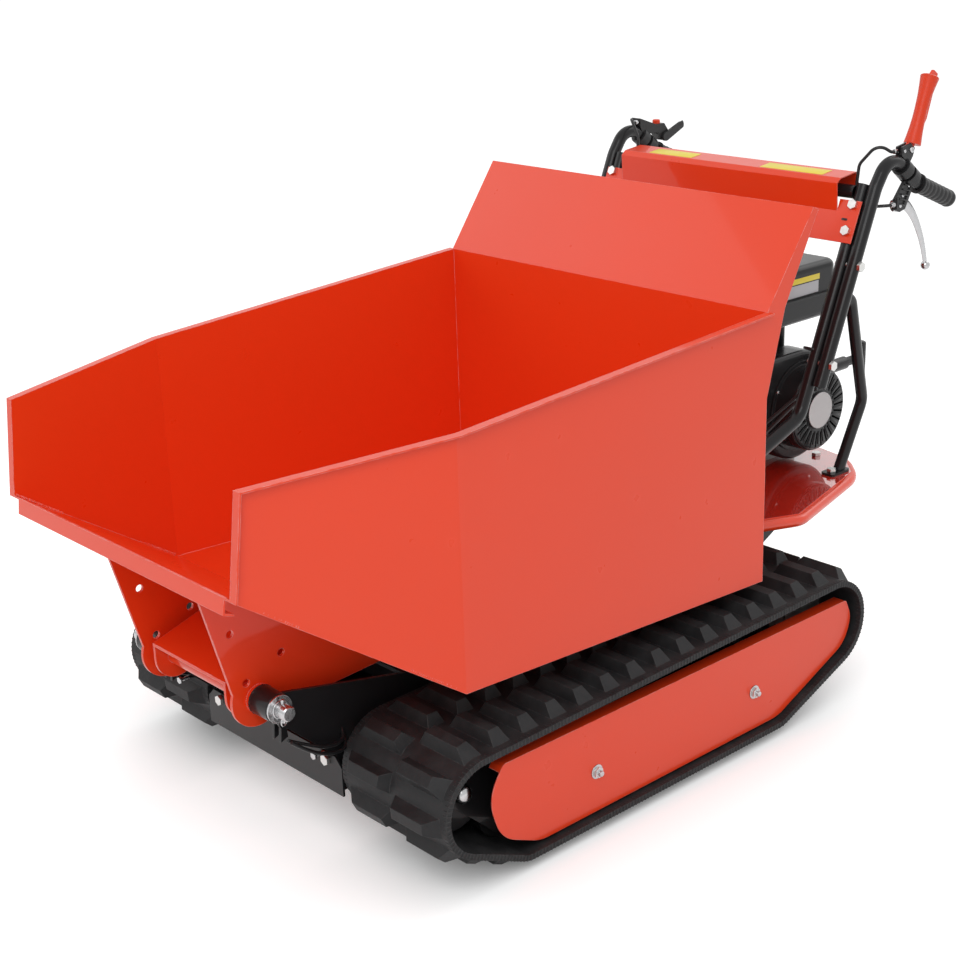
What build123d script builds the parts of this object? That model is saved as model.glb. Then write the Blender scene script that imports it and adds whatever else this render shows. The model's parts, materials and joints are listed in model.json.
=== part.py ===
from build123d import *
import math
import os

# A tracked power carrier: a tipping bed on two rubber tracks, an engine on a rear deck and walk-behind handles.
# Millimetres. +X is the side of the recoil starter, +Y the operator's end, +Z up, z = 0 the ground.
# The origin lies below the middle of the overall length.

# Overall
overall_length = 1672.0
lip_front_y = -overall_length / 2
grip_end_y = overall_length / 2

# Clearances
seat_gap = 0.3
running_gap = 0.05
bolt_gap = 0.5

# Bed
bed_half_width = 397.0
bed_sheet = 3.0
bed_bend = 3.0
bed_front_half_width = 309.0
bed_front_y = lip_front_y + 3.0
ramp_run = 343.5
floor_run = 696.5
bed_fold_y = bed_front_y + ramp_run
bed_rear_y = bed_fold_y + floor_run
bed_front_bottom_z = 556.0
bed_front_top_z = 716.0
bed_front_lean = 18.0
bed_fold_bottom_z = 324.0
bed_fold_top_z = 736.0
bed_rear_bottom_z = 293.0
bed_rear_top_z = 779.0
flare_run = 115.0
flare_rise = 159.0
edge_flange = 12.0
flare_gusset_depth = 43.0
flare_gusset_drop = 151.0
flare_hem = 10.0
lip_half_length = 292.0
lip_face = 24.0
lip_return = 18.0

# Pivot between bed and chassis
pivot_y = lip_front_y + 151.0
pivot_z = 296.0
pin_radius = 12.5
pin_half_length = 213.0
gusset_outer_x = 130.0
gusset_sheet = 5.0
gusset_round = 48.0
gusset_front_reach = 97.0
gusset_hole_radius = 6.5
weld_ring_radius = 22.0
weld_ring_length = 8.0
boss_radius = 24.0
boss_length = 46.0
cheek_x = 98.0
cheek_round = 40.0
pivot_tube_radius = 17.0

# Tracks
track_half_width = 441.0
belt_width = 250.0
belt_thickness = 10.0
lug_height = 19.0
lug_count = 37
lug_base = 36.0
lug_crest = 20.0
lug_outer_inset = 13.0
lug_row_gap = 12.0
lug_end_ramp = 22.0
lug_root = 3.0
lug_phase = 0.2
guide_height = 18.0
guide_length = 24.0
guide_width = 20.0
ground_clearance_z = lug_height + belt_thickness
idler_y = -494.0
idler_z = 150.0
idler_radius = 74.0
front_roller_y = -399.0
rear_roller_y = 211.0
roller_radius = 45.0
roller_z = ground_clearance_z + roller_radius
roller_count = 3
sprocket_y = 367.0
sprocket_z = 167.0
sprocket_radius = 75.0
sprocket_teeth = 8
wheel_gap = 0.6
wheel_half_width = 46.0
wheel_slot = 14.0
axle_radius = 10.0
drive_axle_radius = 15.0
track_plate = 6.0
track_plate_offset = 54.0
track_plate_bottom_z = 50.0
cover_x = 427.0
cover_sheet = 2.0
cover_flange = 25.0
cover_bolt_y = (-244.0, 153.0)
cover_bolt_z = 107.0

# Chassis
frame_half_width = 172.0
frame_plate = 6.0
frame_top_z = 262.0
frame_bottom_z = 100.0
guard_y = -579.0
guard_half_width = 188.0
guard_height = 66.0
guard_sheet = 4.0
frame_bolt_radius = 5.0
guard_bolt_length = 14.0
beam_height = 44.0
beam_depth = 50.0
beam_y = (-250.0, 70.0)
pad_radius = 20.0
pad_x = 85.0

# Deck
deck_top_z = 352.0
deck_sheet = 4.0
deck_front_y = bed_rear_y + 24.0
deck_rear_y = 731.0
deck_half_width = 336.0
deck_rear_half_width = 205.0
deck_front_half_width = 285.0
rail_radius = 11.0

# Engine
crank_y = 619.0
crank_z = 471.0
crankcase_x = (-95.0, 98.0)
blower_radius = 110.0
blower_depth = 52.0
recoil_radius = 83.0
recoil_depth = 48.0
recoil_slots = 26
badge_radius = 38.0
tank_x = (-115.0, 150.0)
tank_y = (496.0, 730.0)
tank_bottom_z = 636.0
tank_height = 112.0
tank_seam_z = 686.0
tank_round = 24.0
crank_radius = 10.0
pulley_x = -140.0
pulley_width = 20.0
engine_pulley_radius = 36.0
gearbox_pulley_radius = 52.0
gearbox_pulley_y = 430.0
gearbox_pulley_z = 268.0
v_belt_thickness = 9.0

# Handles
tube_radius = 12.5
tube_wall = 2.0
riser_x = 300.0
handlebar_x = riser_x + 2 * tube_radius + seat_gap
riser_bend_y = 423.0
riser_bend_z = 524.0
riser_lean = 0.424
riser_top_z = 926.0
gooseneck_y = 632.0
gooseneck_z = 980.0
grip_radius = 16.0
grip_length = 118.0
grip_angle = 22.7
cowling_sheet = 2.0
cowling_half_width = 316.0
hood_half_width = 268.0
hood_from_z = 880.0
hood_offsets = ((-30.0, 18.0), (-21.0, 25.0), (24.0, 30.0), (37.0, -2.0))

# Track covers: outline from the top front corner round to the top rear corner
cover_bottom_z = 34.0
cover_rim_from_z = 188.0
cover_corners = (
    ((-447.0, 200.0), 12.0),
    ((-480.0, 150.0), 70.0),
    ((-455.0, 72.0), 70.0),
    ((-372.0, cover_bottom_z), 80.0),
    ((222.0, cover_bottom_z), 80.0),
    ((416.0, 116.0), 60.0),
    ((431.0, 165.0), 40.0),
    ((414.0, 200.0), 8.0),
)
idler_arm_radius = 28.0
track_spacer_z = 150.0
spacer_shift = 45.0
beam_z = frame_bottom_z + 6.0 + beam_height / 2
axle_nut_length = 9.0
disc_inner_x = 20.0
pad_y = 116.0
track_bolt_radius = 5.0
cover_bolt_length = 30.0
beam_bolt_length = 30.0
beam_bolt_dz = 10.0

# Gearbox and belt drive
gearbox_half_width = 85.0
gearbox_length = 150.0
gearbox_bottom_z = 110.0
gearbox_top_z = 250.0
gearbox_boss = 12.0
gearbox_bearing_x = 60.0
pulley_flange = 3.0
groove_depth = 10.0
guard_side_gap = 12.0
belt_guard_rise = 36.0
deck_bolt_length = 20.0
cable_hole_x = 60.0
cable_hole_y = (322.0, 338.0)
cable_hole_radius = 5.0

# Engine pieces
crankcase_y = (560.0, 690.0)
crankcase_top_z = 560.0
crankcase_round = 22.0
cylinder_length = 105.0
cylinder_half_width = 42.0
fin_count = 7
fin_thickness = 3.0
fin_reach = 12.0
blower_wall = 2.5
blower_duct_y = 478.0
recoil_flange = 8.0
slot_inner_radius = 46.0
slot_outer_radius = 76.0
slot_width = 4.0
rope_guide_y = 707.0
rope_guide_z = 546.0
rope_guide_x = 188.0
rope_guide_radius = 13.0
starter_stem_radius = 9.0
starter_bar_radius = 11.0
starter_bar_height = 67.0
starter_bar_y = 760.0
cap_radius = 30.0
cap_height = 20.0
cap_x = -10.0
flywheel_radius = 88.0
flywheel_width = 16.0
cylinder_z = 500.0
fin_pitch = 12.0
plug_radius = 6.0
plug_thread = 14.0
neck_height = 8.0
carburettor_x = 75.0
carburettor_y = 525.0
carburettor_z = 588.0
carburettor_height = 40.0
air_cleaner_y = (405.0, 488.0)
air_cleaner_height = 92.0
muffler_x = -105.0
muffler_width = 140.0
muffler_z = 572.0
muffler_height = 84.0

# Handle pieces
riser_knee_z = 466.0
bar_foot_z = 580.0
bar_turn_z = 922.0
bar_bolt_z = (620.0, 790.0)
grip_end_z = 868.0
grip_wall = 4.0
grip_chamfer = 2.0
cross_tube_z = 912.0
cowling_bottom_z = 828.0
cowling_top_z = 900.0
cowling_bolt_z = (843.0, 888.0)
stay_bend_x = 262.0
stay_bend_y = 669.0
stay_bend_z = 494.0
stay_top_z = 740.0
brake_lever_width = 8.0
brake_ball_radius = 9.0
ear_sheet = 4.0
throttle_arm_width = 24.0
switch_top_z = 970.0
switch_travel = 3.0
button_height = 8.0
cable_x = (273.0, 281.0)
cable_back = 36.0

# Controls
clamp_length = 20.0
clamp_radius = 18.0
front_clamp_y = 676.0
rear_clamp_y = 698.0
brake_pivot_y = 667.0
brake_pivot_z = 880.0
brake_pin_radius = 4.0
lever_sheet = 6.0
clutch_pivot_y = 688.0
clutch_pivot_z = 980.0
clutch_handle = ((23.0, 34.0), (55.0, 124.0))
clutch_handle_radius = 11.5
throttle_pivot_y = 734.0
throttle_pivot_z = 942.0
switch_y = 722.0
switch_z = 950.0
switch_radius = 8.0
cable_radius = 3.0
stay_radius = 11.0


def loop_circles(offset):
    """The belt's four turning circles, front idler first, counter-clockwise seen from +X."""
    return [
        (idler_y, idler_z, idler_radius + offset),
        (front_roller_y, roller_z, roller_radius + offset),
        (rear_roller_y, roller_z, roller_radius + offset),
        (sprocket_y, sprocket_z, sprocket_radius + offset),
    ]


def loop_normals(circles):
    """Angle of the outward normal of the run that leaves each circle, in degrees."""
    normals = []
    for index, (y, z, r) in enumerate(circles):
        y2, z2, r2 = circles[(index + 1) % len(circles)]
        span = math.hypot(y2 - y, z2 - z)
        heading = math.degrees(math.atan2(z2 - z, y2 - y))
        normals.append(heading - math.degrees(math.acos((r - r2) / span)))
    return normals


def on_circle(circle, angle):
    y, z, r = circle
    return (y + r * math.cos(math.radians(angle)), z + r * math.sin(math.radians(angle)))


def loop_edges(circles):
    """Draws the closed loop round some turning circles, inside a line builder."""
    normals = loop_normals(circles)
    for index, circle in enumerate(circles):
        turn = (normals[index] - normals[index - 1]) % 360
        CenterArc(circle[:2], circle[2], normals[index - 1], turn)
        following = circles[(index + 1) % len(circles)]
        Line(on_circle(circle, normals[index]), on_circle(following, normals[index]))


def loop_stations(circles, count, shift):
    """Evenly spaced (y, z, normal angle) places along the loop; shift is a share of the pitch."""
    normals = loop_normals(circles)
    pieces = []
    for index, circle in enumerate(circles):
        turn = (normals[index] - normals[index - 1]) % 360
        pieces.append(("arc", circle, normals[index - 1], math.radians(turn) * circle[2]))
        start = on_circle(circle, normals[index])
        end = on_circle(circles[(index + 1) % len(circles)], normals[index])
        pieces.append(("run", start, end, math.dist(start, end), normals[index]))
    total = sum(piece[3] for piece in pieces)
    stations = []
    for step in range(count):
        travelled = (step + shift) * total / count
        for piece in pieces:
            if travelled <= piece[3]:
                break
            travelled -= piece[3]
        if piece[0] == "arc":
            angle = piece[2] + math.degrees(travelled / piece[1][2])
            stations.append((*on_circle(piece[1], angle), angle))
        else:
            share = travelled / piece[3]
            y = piece[1][0] + share * (piece[2][0] - piece[1][0])
            z = piece[1][1] + share * (piece[2][1] - piece[1][1])
            stations.append((y, z, piece[4]))
    return stations


def save(builder, name):
    builder.part.label = name
    export_step(builder.part, f"parts/{name}.step")


def tube(points, bends, radius, bore):
    """Sweeps a round tube along straight runs joined by arcs; a bore of 0 leaves it solid."""
    with BuildLine() as route:
        FilletPolyline(*points, radius=bends)
    with BuildSketch(Plane(origin=route.line @ 0, z_dir=route.line % 0)) as section:
        Circle(radius)
        if bore:
            Circle(bore, mode=Mode.SUBTRACT)
    sweep(section.sketch, path=route.line)


def rod(start, end, radius, mode=Mode.ADD):
    """A straight round bar between two points."""
    heading = Vector(*end) - Vector(*start)
    with BuildSketch(Plane(origin=start, z_dir=heading)) as section:
        Circle(radius)
    extrude(section.sketch, amount=heading.length, mode=mode)


def along(start, end, distance):
    """The point at a distance from start on the line to end."""
    heading = (Vector(*end) - Vector(*start)).normalized()
    return tuple(Vector(*start) + heading * distance)


def hex_bolt(seat, outward, length, radius):
    """A bolt with its head on the seat point; the shank runs the length back into the parts."""
    plane = Plane(origin=seat, z_dir=outward)
    with BuildSketch(plane.offset(-length)) as shank:
        Circle(radius)
    extrude(shank.sketch, amount=length + seat_gap)
    with BuildSketch(plane.offset(seat_gap)) as head:
        RegularPolygon(radius=1.9 * radius, side_count=6)
    extrude(head.sketch, amount=1.3 * radius)


def bolt_hole(seat, outward, length, radius):
    """The hole for one bolt, from just outside its seat."""
    with BuildSketch(Plane(origin=seat, z_dir=outward).offset(-length - bolt_gap)) as section:
        Circle(radius + bolt_gap)
    extrude(section.sketch, amount=length + 2 * bolt_gap, mode=Mode.SUBTRACT)


def side_plate(x, thickness, points):
    """A flat plate across X, cut to an outline in Y and Z; its face at x is the one nearer -X."""
    with BuildSketch(Plane.YZ.offset(x)) as section:
        with BuildLine():
            Polyline(*points, close=True)
        make_face()
    extrude(section.sketch, amount=thickness)


def cross_disc(x, length, y, z, radius, mode=Mode.ADD):
    """A round disc or shaft along X, from x on."""
    with BuildSketch(Plane.YZ.offset(x)) as section:
        with Locations((y, z)):
            Circle(radius)
    extrude(section.sketch, amount=length, mode=mode)


def cover_line():
    """The side cover's outline with rounded corners, as one closed line."""
    points = [corner for corner, bend in cover_corners]
    bends = [bend for corner, bend in cover_corners]
    FilletPolyline(*points, radius=bends, close=True)


os.makedirs("parts", exist_ok=True)

SIDES = {"right": 1, "left": -1}
track_mid_x = track_half_width - belt_width / 2
outline_reach = 2000.0


# Bed shell: a plan outline cut by a side outline, hollowed by the sheet's thickness
def bed_side_outline(lift, open_front):
    """Side outline of the bed, raised by lift; the inside runs out past the front and the top."""
    reach = 60.0 if open_front else 0.0
    slope = (bed_front_bottom_z - bed_fold_bottom_z) / ramp_run
    ramp_lift = lift * math.hypot(1, slope)
    top = 200.0 if open_front else 0.0
    Polyline(
        (bed_front_y - reach, bed_front_bottom_z + ramp_lift + slope * reach),
        (bed_fold_y + lift * slope / 2, bed_fold_bottom_z + lift),
        (bed_rear_y - lift, bed_rear_bottom_z + lift),
        (bed_rear_y - lift, bed_rear_top_z + top),
        (bed_fold_y, bed_fold_top_z + top),
        (bed_front_y + bed_front_lean - reach, bed_front_top_z + top),
        close=True,
    )


def bed_plan_outline(inset, reach):
    taper = (bed_half_width - bed_front_half_width) / ramp_run
    front_half = bed_front_half_width - inset - taper * reach
    Polyline(
        (-bed_half_width + inset, bed_rear_y - inset),
        (-bed_half_width + inset, bed_fold_y),
        (-front_half, bed_front_y - reach),
        (front_half, bed_front_y - reach),
        (bed_half_width - inset, bed_fold_y),
        (bed_half_width - inset, bed_rear_y - inset),
        close=True,
    )


with BuildPart() as bed_inside:
    with BuildSketch():
        with BuildLine():
            bed_plan_outline(bed_sheet, 60.0)
        make_face()
    extrude(amount=outline_reach)
    with BuildSketch(Plane.YZ.offset(-outline_reach / 2)):
        with BuildLine():
            bed_side_outline(bed_sheet, True)
        make_face()
    extrude(amount=outline_reach, mode=Mode.INTERSECT)
    rear_wall_edges = bed_inside.edges().group_by(Axis.Y)[-1]
    fillet(rear_wall_edges.sort_by(Axis.Z)[0], radius=bed_bend)


with BuildPart() as bed_edge_flanges:
    for side in (-1, 1):
        with BuildSketch():
            with BuildLine():
                Polyline(
                    (side * (bed_front_half_width - bed_sheet), bed_front_y),
                    (side * (bed_front_half_width + edge_flange), bed_front_y),
                    (side * (bed_half_width + edge_flange), bed_fold_y),
                    (side * (bed_half_width + edge_flange), bed_rear_y),
                    (side * (bed_half_width - bed_sheet), bed_rear_y),
                    (side * (bed_half_width - bed_sheet), bed_fold_y),
                    close=True,
                )
            make_face()
        extrude(amount=outline_reach)
    with BuildSketch(Plane.YZ.offset(-outline_reach / 2)):
        with BuildLine():
            Polyline(
                (bed_front_y, bed_front_bottom_z),
                (bed_front_y + bed_front_lean, bed_front_top_z),
                (bed_fold_y, bed_fold_top_z),
                (bed_rear_y, bed_rear_top_z),
                (bed_rear_y, bed_rear_top_z - bed_sheet),
                (bed_fold_y, bed_fold_top_z - bed_sheet),
                (bed_front_y + bed_front_lean + bed_sheet, bed_front_top_z - bed_sheet),
                (bed_front_y + bed_sheet, bed_front_bottom_z),
                close=True,
            )
        make_face()
    extrude(amount=outline_reach, mode=Mode.INTERSECT)

with BuildPart() as bed_shell:
    with BuildSketch():
        with BuildLine():
            bed_plan_outline(0.0, 0.0)
        make_face()
    extrude(amount=outline_reach)
    with BuildSketch(Plane.YZ.offset(-outline_reach / 2)):
        with BuildLine():
            bed_side_outline(0.0, False)
        make_face()
    extrude(amount=outline_reach, mode=Mode.INTERSECT)
    add(bed_inside.part, mode=Mode.SUBTRACT)
    add(bed_edge_flanges.part)
    # Flared rear panel with a short lip turned down at its top
    with BuildSketch(Plane.YZ.offset(-bed_half_width)):
        with BuildLine():
            Polyline(
                (bed_rear_y - bed_sheet, bed_rear_top_z - bed_sheet),
                (bed_rear_y - bed_sheet, bed_rear_top_z),
                (bed_rear_y + flare_run - bed_sheet, bed_rear_top_z + flare_rise),
                (bed_rear_y + flare_run + flare_hem, bed_rear_top_z + flare_rise - flare_hem / 2),
                (bed_rear_y + flare_run + flare_hem, bed_rear_top_z + flare_rise - flare_hem / 2 - bed_sheet),
                (bed_rear_y + flare_run, bed_rear_top_z + flare_rise - bed_sheet),
                (bed_rear_y, bed_rear_top_z - bed_sheet),
                close=True,
            )
        make_face()
    extrude(amount=2 * bed_half_width)
    # Side gussets of the flare
    for start in (-bed_half_width, bed_half_width - bed_sheet):
        with BuildSketch(Plane.YZ.offset(start)):
            with BuildLine():
                Polyline(
                    (bed_rear_y - bed_sheet, bed_rear_top_z),
                    (bed_rear_y - bed_sheet, bed_rear_top_z - flare_gusset_drop),
                    (bed_rear_y, bed_rear_top_z - flare_gusset_drop),
                    (bed_rear_y + flare_gusset_depth, bed_rear_top_z),
                    (bed_rear_y + flare_run + flare_hem, bed_rear_top_z + flare_rise - flare_hem / 2),
                    (bed_rear_y + flare_run - bed_sheet, bed_rear_top_z + flare_rise),
                    close=True,
                )
            make_face()
        extrude(amount=bed_sheet)
    # C-shaped front lip below the ramp's end, open at both ends
    with BuildSketch(Plane.YZ.offset(-lip_half_length)):
        with BuildLine():
            Polyline(
                (bed_front_y + 6.0, bed_front_bottom_z + 1.0),
                (bed_front_y, bed_front_bottom_z),
                (lip_front_y, bed_front_bottom_z - lip_face),
                (lip_front_y + lip_return, bed_front_bottom_z - lip_face - lip_return / 3),
                (lip_front_y + lip_return, bed_front_bottom_z - lip_face - lip_return / 3 + bed_sheet),
                (lip_front_y + bed_sheet, bed_front_bottom_z - lip_face + bed_sheet),
                (bed_front_y + bed_sheet, bed_front_bottom_z - bed_sheet),
                (bed_front_y + 6.0, bed_front_bottom_z - 3.5),
                close=True,
            )
        make_face()
    extrude(amount=2 * lip_half_length)
save(bed_shell, "bed_shell")


def bed_underside_z(y):
    """Height of the bed's underside on its ramp or floor."""
    if y < bed_fold_y:
        return bed_fold_bottom_z + (bed_fold_y - y) * (bed_front_bottom_z - bed_fold_bottom_z) / ramp_run
    return bed_fold_bottom_z + (y - bed_fold_y) * (bed_rear_bottom_z - bed_fold_bottom_z) / floor_run


# Pivot gussets below the bed, each with a weld ring round the pin
gusset_front_y = pivot_y - gusset_front_reach - 3.0
gusset_rear_y = bed_rear_y - 60.0
rib_depth = 24.0
gusset_holes = ((-41.0, 120.0), (49.0, 60.0), (-19.0, 31.0))

with BuildPart() as pivot_gussets:
    for side in (-1, 1):
        start = gusset_outer_x - gusset_sheet if side > 0 else -gusset_outer_x
        with BuildSketch(Plane.YZ.offset(start)):
            with BuildLine():
                Polyline(
                    (gusset_front_y, bed_underside_z(gusset_front_y)),
                    (gusset_front_y + 62.0, pivot_z - 8.0),
                    (pivot_y, pivot_z - gusset_round),
                    (pivot_y + 30.0, pivot_z - gusset_round + 14.0),
                    (bed_fold_y + 60.0, bed_underside_z(bed_fold_y + 60.0) - 46.0),
                    (gusset_rear_y, bed_underside_z(gusset_rear_y) - rib_depth),
                    (gusset_rear_y, bed_underside_z(gusset_rear_y)),
                    (bed_fold_y, bed_fold_bottom_z),
                    close=True,
                )
            make_face()
            with Locations((pivot_y, pivot_z)):
                Circle(gusset_round)
                Circle(pin_radius + running_gap, mode=Mode.SUBTRACT)
            with Locations(*[(pivot_y + dy, pivot_z + dz) for dy, dz in gusset_holes]):
                Circle(gusset_hole_radius, mode=Mode.SUBTRACT)
        extrude(amount=gusset_sheet)
        ring_start = gusset_outer_x if side > 0 else -gusset_outer_x - weld_ring_length
        with BuildSketch(Plane.YZ.offset(ring_start)):
            with Locations((pivot_y, pivot_z)):
                Circle(weld_ring_radius)
                Circle(pin_radius + running_gap, mode=Mode.SUBTRACT)
        extrude(amount=weld_ring_length)
save(pivot_gussets, "pivot_gussets")

# Cheek bracket between the gussets, with the tube that the pin runs through
with BuildPart() as pivot_bracket:
    inner_reach = gusset_outer_x - gusset_sheet
    for start in (-cheek_x - gusset_sheet, cheek_x):
        with BuildSketch(Plane.YZ.offset(start)):
            with BuildLine():
                Polyline(
                    (pivot_y - cheek_round, pivot_z + 30.0),
                    (pivot_y - cheek_round, pivot_z),
                    (pivot_y + cheek_round, pivot_z),
                    (bed_fold_y, bed_fold_bottom_z - 20.0),
                    (bed_fold_y, bed_fold_bottom_z),
                    (pivot_y + 120.0, bed_underside_z(pivot_y + 120.0)),
                    close=True,
                )
            make_face()
            with Locations((pivot_y, pivot_z)):
                Circle(cheek_round)
                Circle(pin_radius + running_gap, mode=Mode.SUBTRACT)
        extrude(amount=gusset_sheet)
    with BuildSketch(Plane.YZ.offset(-cheek_x - gusset_sheet)):
        with BuildLine():
            Polyline(
                (pivot_y - cheek_round, pivot_z + 30.0),
                (pivot_y + 120.0, bed_underside_z(pivot_y + 120.0)),
                (pivot_y + 120.0, bed_underside_z(pivot_y + 120.0) - gusset_sheet),
                (pivot_y - cheek_round, pivot_z + 30.0 - gusset_sheet),
                close=True,
            )
        make_face()
    extrude(amount=2 * (cheek_x + gusset_sheet))
    with BuildSketch(Plane.YZ.offset(-inner_reach)):
        with Locations((pivot_y, pivot_z)):
            Circle(pivot_tube_radius)
            Circle(pin_radius + running_gap, mode=Mode.SUBTRACT)
    extrude(amount=2 * inner_reach)
save(pivot_bracket, "pivot_bracket")

# Pivot pin, held in the chassis bosses, with a washer and a linch pin at each end
boss_start = gusset_outer_x + weld_ring_length + seat_gap
boss_end = boss_start + boss_length
washer_thickness = 4.0
linch_x = boss_end + washer_thickness + 8.0
linch_radius = 3.0

with BuildPart() as pivot_pin:
    with BuildSketch(Plane.YZ.offset(-pin_half_length)):
        with Locations((pivot_y, pivot_z)):
            Circle(pin_radius)
    extrude(amount=2 * pin_half_length)
    chamfer(pivot_pin.edges().filter_by(GeomType.CIRCLE), length=2.0)
    for x in (-linch_x, linch_x):
        with Locations(Location((x, pivot_y, pivot_z))):
            Cylinder(linch_radius + running_gap, 4 * pin_radius, mode=Mode.SUBTRACT)
save(pivot_pin, "pivot_pin")

with BuildPart() as pin_hardware:
    for side in (-1, 1):
        start = boss_end + seat_gap if side > 0 else -boss_end - seat_gap - washer_thickness
        with BuildSketch(Plane.YZ.offset(start)):
            with Locations((pivot_y, pivot_z)):
                Circle(boss_radius - 1.0)
                Circle(pin_radius + running_gap, mode=Mode.SUBTRACT)
        extrude(amount=washer_thickness)
        with Locations(Location((side * linch_x, pivot_y, pivot_z))):
            Cylinder(linch_radius, 2 * pin_radius + 14.0)
save(pin_hardware, "pin_hardware")

# Chassis: two side plates that carry the pivot bosses in front and the deck behind, joined by plates and beams
plate_inner_x = frame_half_width - frame_plate
arm_slope_end_y = bed_fold_y + 60.0
deck_bottom_z = deck_top_z - deck_sheet
frame_rear_y = deck_rear_y - 40.0
drive_bore_radius = drive_axle_radius + 4.0

guard_face_y = guard_y + 6.0
guard_bolt_z = frame_bottom_z + guard_height - 12.0
guard_bolt_x = guard_half_width - 38.0
guard_front_y = guard_face_y - seat_gap - guard_sheet
guard_bolts = [((x, guard_front_y, guard_bolt_z), (0, -1, 0)) for x in (-guard_bolt_x, guard_bolt_x)]
deck_beam_y = (deck_front_y + 22.0, frame_rear_y - 15.0)
deck_bolts = [
    ((side * (frame_half_width - 20.0), y, deck_top_z), (0, 0, 1))
    for side in SIDES.values()
    for y in deck_beam_y
]
beam_ends_x = track_mid_x - track_plate_offset - track_plate
beam_bolts = [
    ((side * (beam_ends_x + track_plate), y, beam_z + dz), (side, 0, 0))
    for side in SIDES.values()
    for y in beam_y
    for dz in (-beam_bolt_dz, beam_bolt_dz)
]

with BuildPart() as chassis_frame:
    for start in (-frame_half_width, plate_inner_x):
        with BuildSketch(Plane.YZ.offset(start)):
            with BuildLine():
                Polyline(
                    (pivot_y - 8.0, pivot_z + boss_radius - 2.0),
                    (arm_slope_end_y, frame_top_z),
                    (bed_rear_y + 6.0, frame_top_z),
                    (deck_front_y, deck_bottom_z),
                    (frame_rear_y, deck_bottom_z),
                    (frame_rear_y, deck_bottom_z - 26.0),
                    (sprocket_y + 90.0, sprocket_z + 40.0),
                    (sprocket_y + 60.0, frame_bottom_z + 20.0),
                    (guard_y + 6.0, frame_bottom_z),
                    (guard_y + 6.0, frame_bottom_z + guard_height),
                    (pivot_y - 4.0, pivot_z - boss_radius + 1.0),
                    close=True,
                )
            make_face()
            with Locations((pivot_y, pivot_z)):
                Circle(boss_radius)
            with Locations((sprocket_y, sprocket_z)):
                Circle(drive_bore_radius, mode=Mode.SUBTRACT)
        extrude(amount=frame_plate)
    for start in (-boss_end, boss_start):
        with BuildSketch(Plane.YZ.offset(start)):
            with Locations((pivot_y, pivot_z)):
                Circle(boss_radius)
        extrude(amount=boss_length)
    with BuildSketch(Plane.YZ.offset(-pin_half_length)):
        with Locations((pivot_y, pivot_z)):
            Circle(pin_radius + running_gap)
    extrude(amount=2 * pin_half_length, mode=Mode.SUBTRACT)
    # Top plate below the bed and closing plate behind the guard
    with BuildSketch(Plane.XY.offset(frame_top_z - frame_plate)):
        with Locations((0, (arm_slope_end_y + bed_rear_y) / 2)):
            Rectangle(2 * frame_half_width, bed_rear_y - arm_slope_end_y)
    extrude(amount=frame_plate)
    with BuildSketch(Plane.XZ.offset(-guard_y - 6.0 - frame_plate)):
        with Locations((0, frame_bottom_z + guard_height / 2)):
            Rectangle(2 * frame_half_width, guard_height)
    extrude(amount=frame_plate)
    # Cross beams out to the track frames, and a beam below the rear of the deck
    for y in beam_y:
        with Locations((0, y, beam_z)):
            Box(2 * (beam_ends_x - seat_gap), beam_depth, beam_height)
    for y in deck_beam_y:
        with Locations((0, y, deck_bottom_z - 13.0)):
            Box(2 * frame_half_width, 30.0, 26.0)
    # Hook lugs below the bosses
    for x in (boss_start + 4.0, boss_start + 22.0, -boss_start - 10.0, -boss_start - 28.0):
        with BuildSketch(Plane.YZ.offset(x)):
            with BuildLine():
                Polyline(
                    (pivot_y + 2.0, pivot_z - boss_radius + 3.0),
                    (pivot_y + 20.0, pivot_z - boss_radius + 8.0),
                    (pivot_y + 26.0, pivot_z - boss_radius - 40.0),
                    (pivot_y + 12.0, pivot_z - boss_radius - 46.0),
                    (pivot_y + 14.0, pivot_z - boss_radius - 22.0),
                    close=True,
                )
            make_face()
        extrude(amount=6.0)
    for seat, outward in guard_bolts:
        bolt_hole(seat, outward, guard_bolt_length, frame_bolt_radius)
    for seat, outward in deck_bolts:
        bolt_hole(seat, outward, deck_bolt_length, frame_bolt_radius)
    for seat, outward in beam_bolts:
        bolt_hole(seat, outward, beam_bolt_length, track_bolt_radius)
save(chassis_frame, "chassis_frame")

# Front guard plate with chamfered upper corners, bolted to the closing plate
with BuildPart() as guard_plate:
    with BuildSketch(Plane.XZ.offset(-guard_y - 6.0 + seat_gap)):
        with Locations((0, frame_bottom_z + guard_height / 2)):
            corners = Rectangle(2 * guard_half_width, guard_height)
        chamfer(corners.vertices().group_by(Axis.Y)[-1], length=16.0)
    extrude(amount=guard_sheet)
    for seat, outward in guard_bolts:
        bolt_hole(seat, outward, guard_bolt_length, frame_bolt_radius)
save(guard_plate, "front_guard_plate")

# Tracks: belt with lugs and centre guides, wheels, frame, axles and cover on each side
frame_plate_out = track_plate_offset + track_plate
roller_pitch = (rear_roller_y - front_roller_y) / (roller_count - 1)
roller_y = [front_roller_y + step * roller_pitch for step in range(roller_count)]
lug_row_length = belt_width / 2 - lug_outer_inset - lug_row_gap / 2
nut_radius = 15.0
standoff_radius = 14.0


def track_wheel(mid_x, y, z, radius, floor_radius, bore):
    """A double-rimmed wheel; the belt's guides run in the slot between its rims."""
    for start in (-wheel_half_width, wheel_slot):
        cross_disc(mid_x + start, wheel_half_width - wheel_slot, y, z, radius)
    cross_disc(mid_x - wheel_slot, 2 * wheel_slot, y, z, floor_radius)
    hub_reach = track_plate_offset - seat_gap
    cross_disc(mid_x - hub_reach, 2 * hub_reach, y, z, 1.8 * bore)
    cross_disc(mid_x - hub_reach, 2 * hub_reach, y, z, bore, mode=Mode.SUBTRACT)


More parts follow.
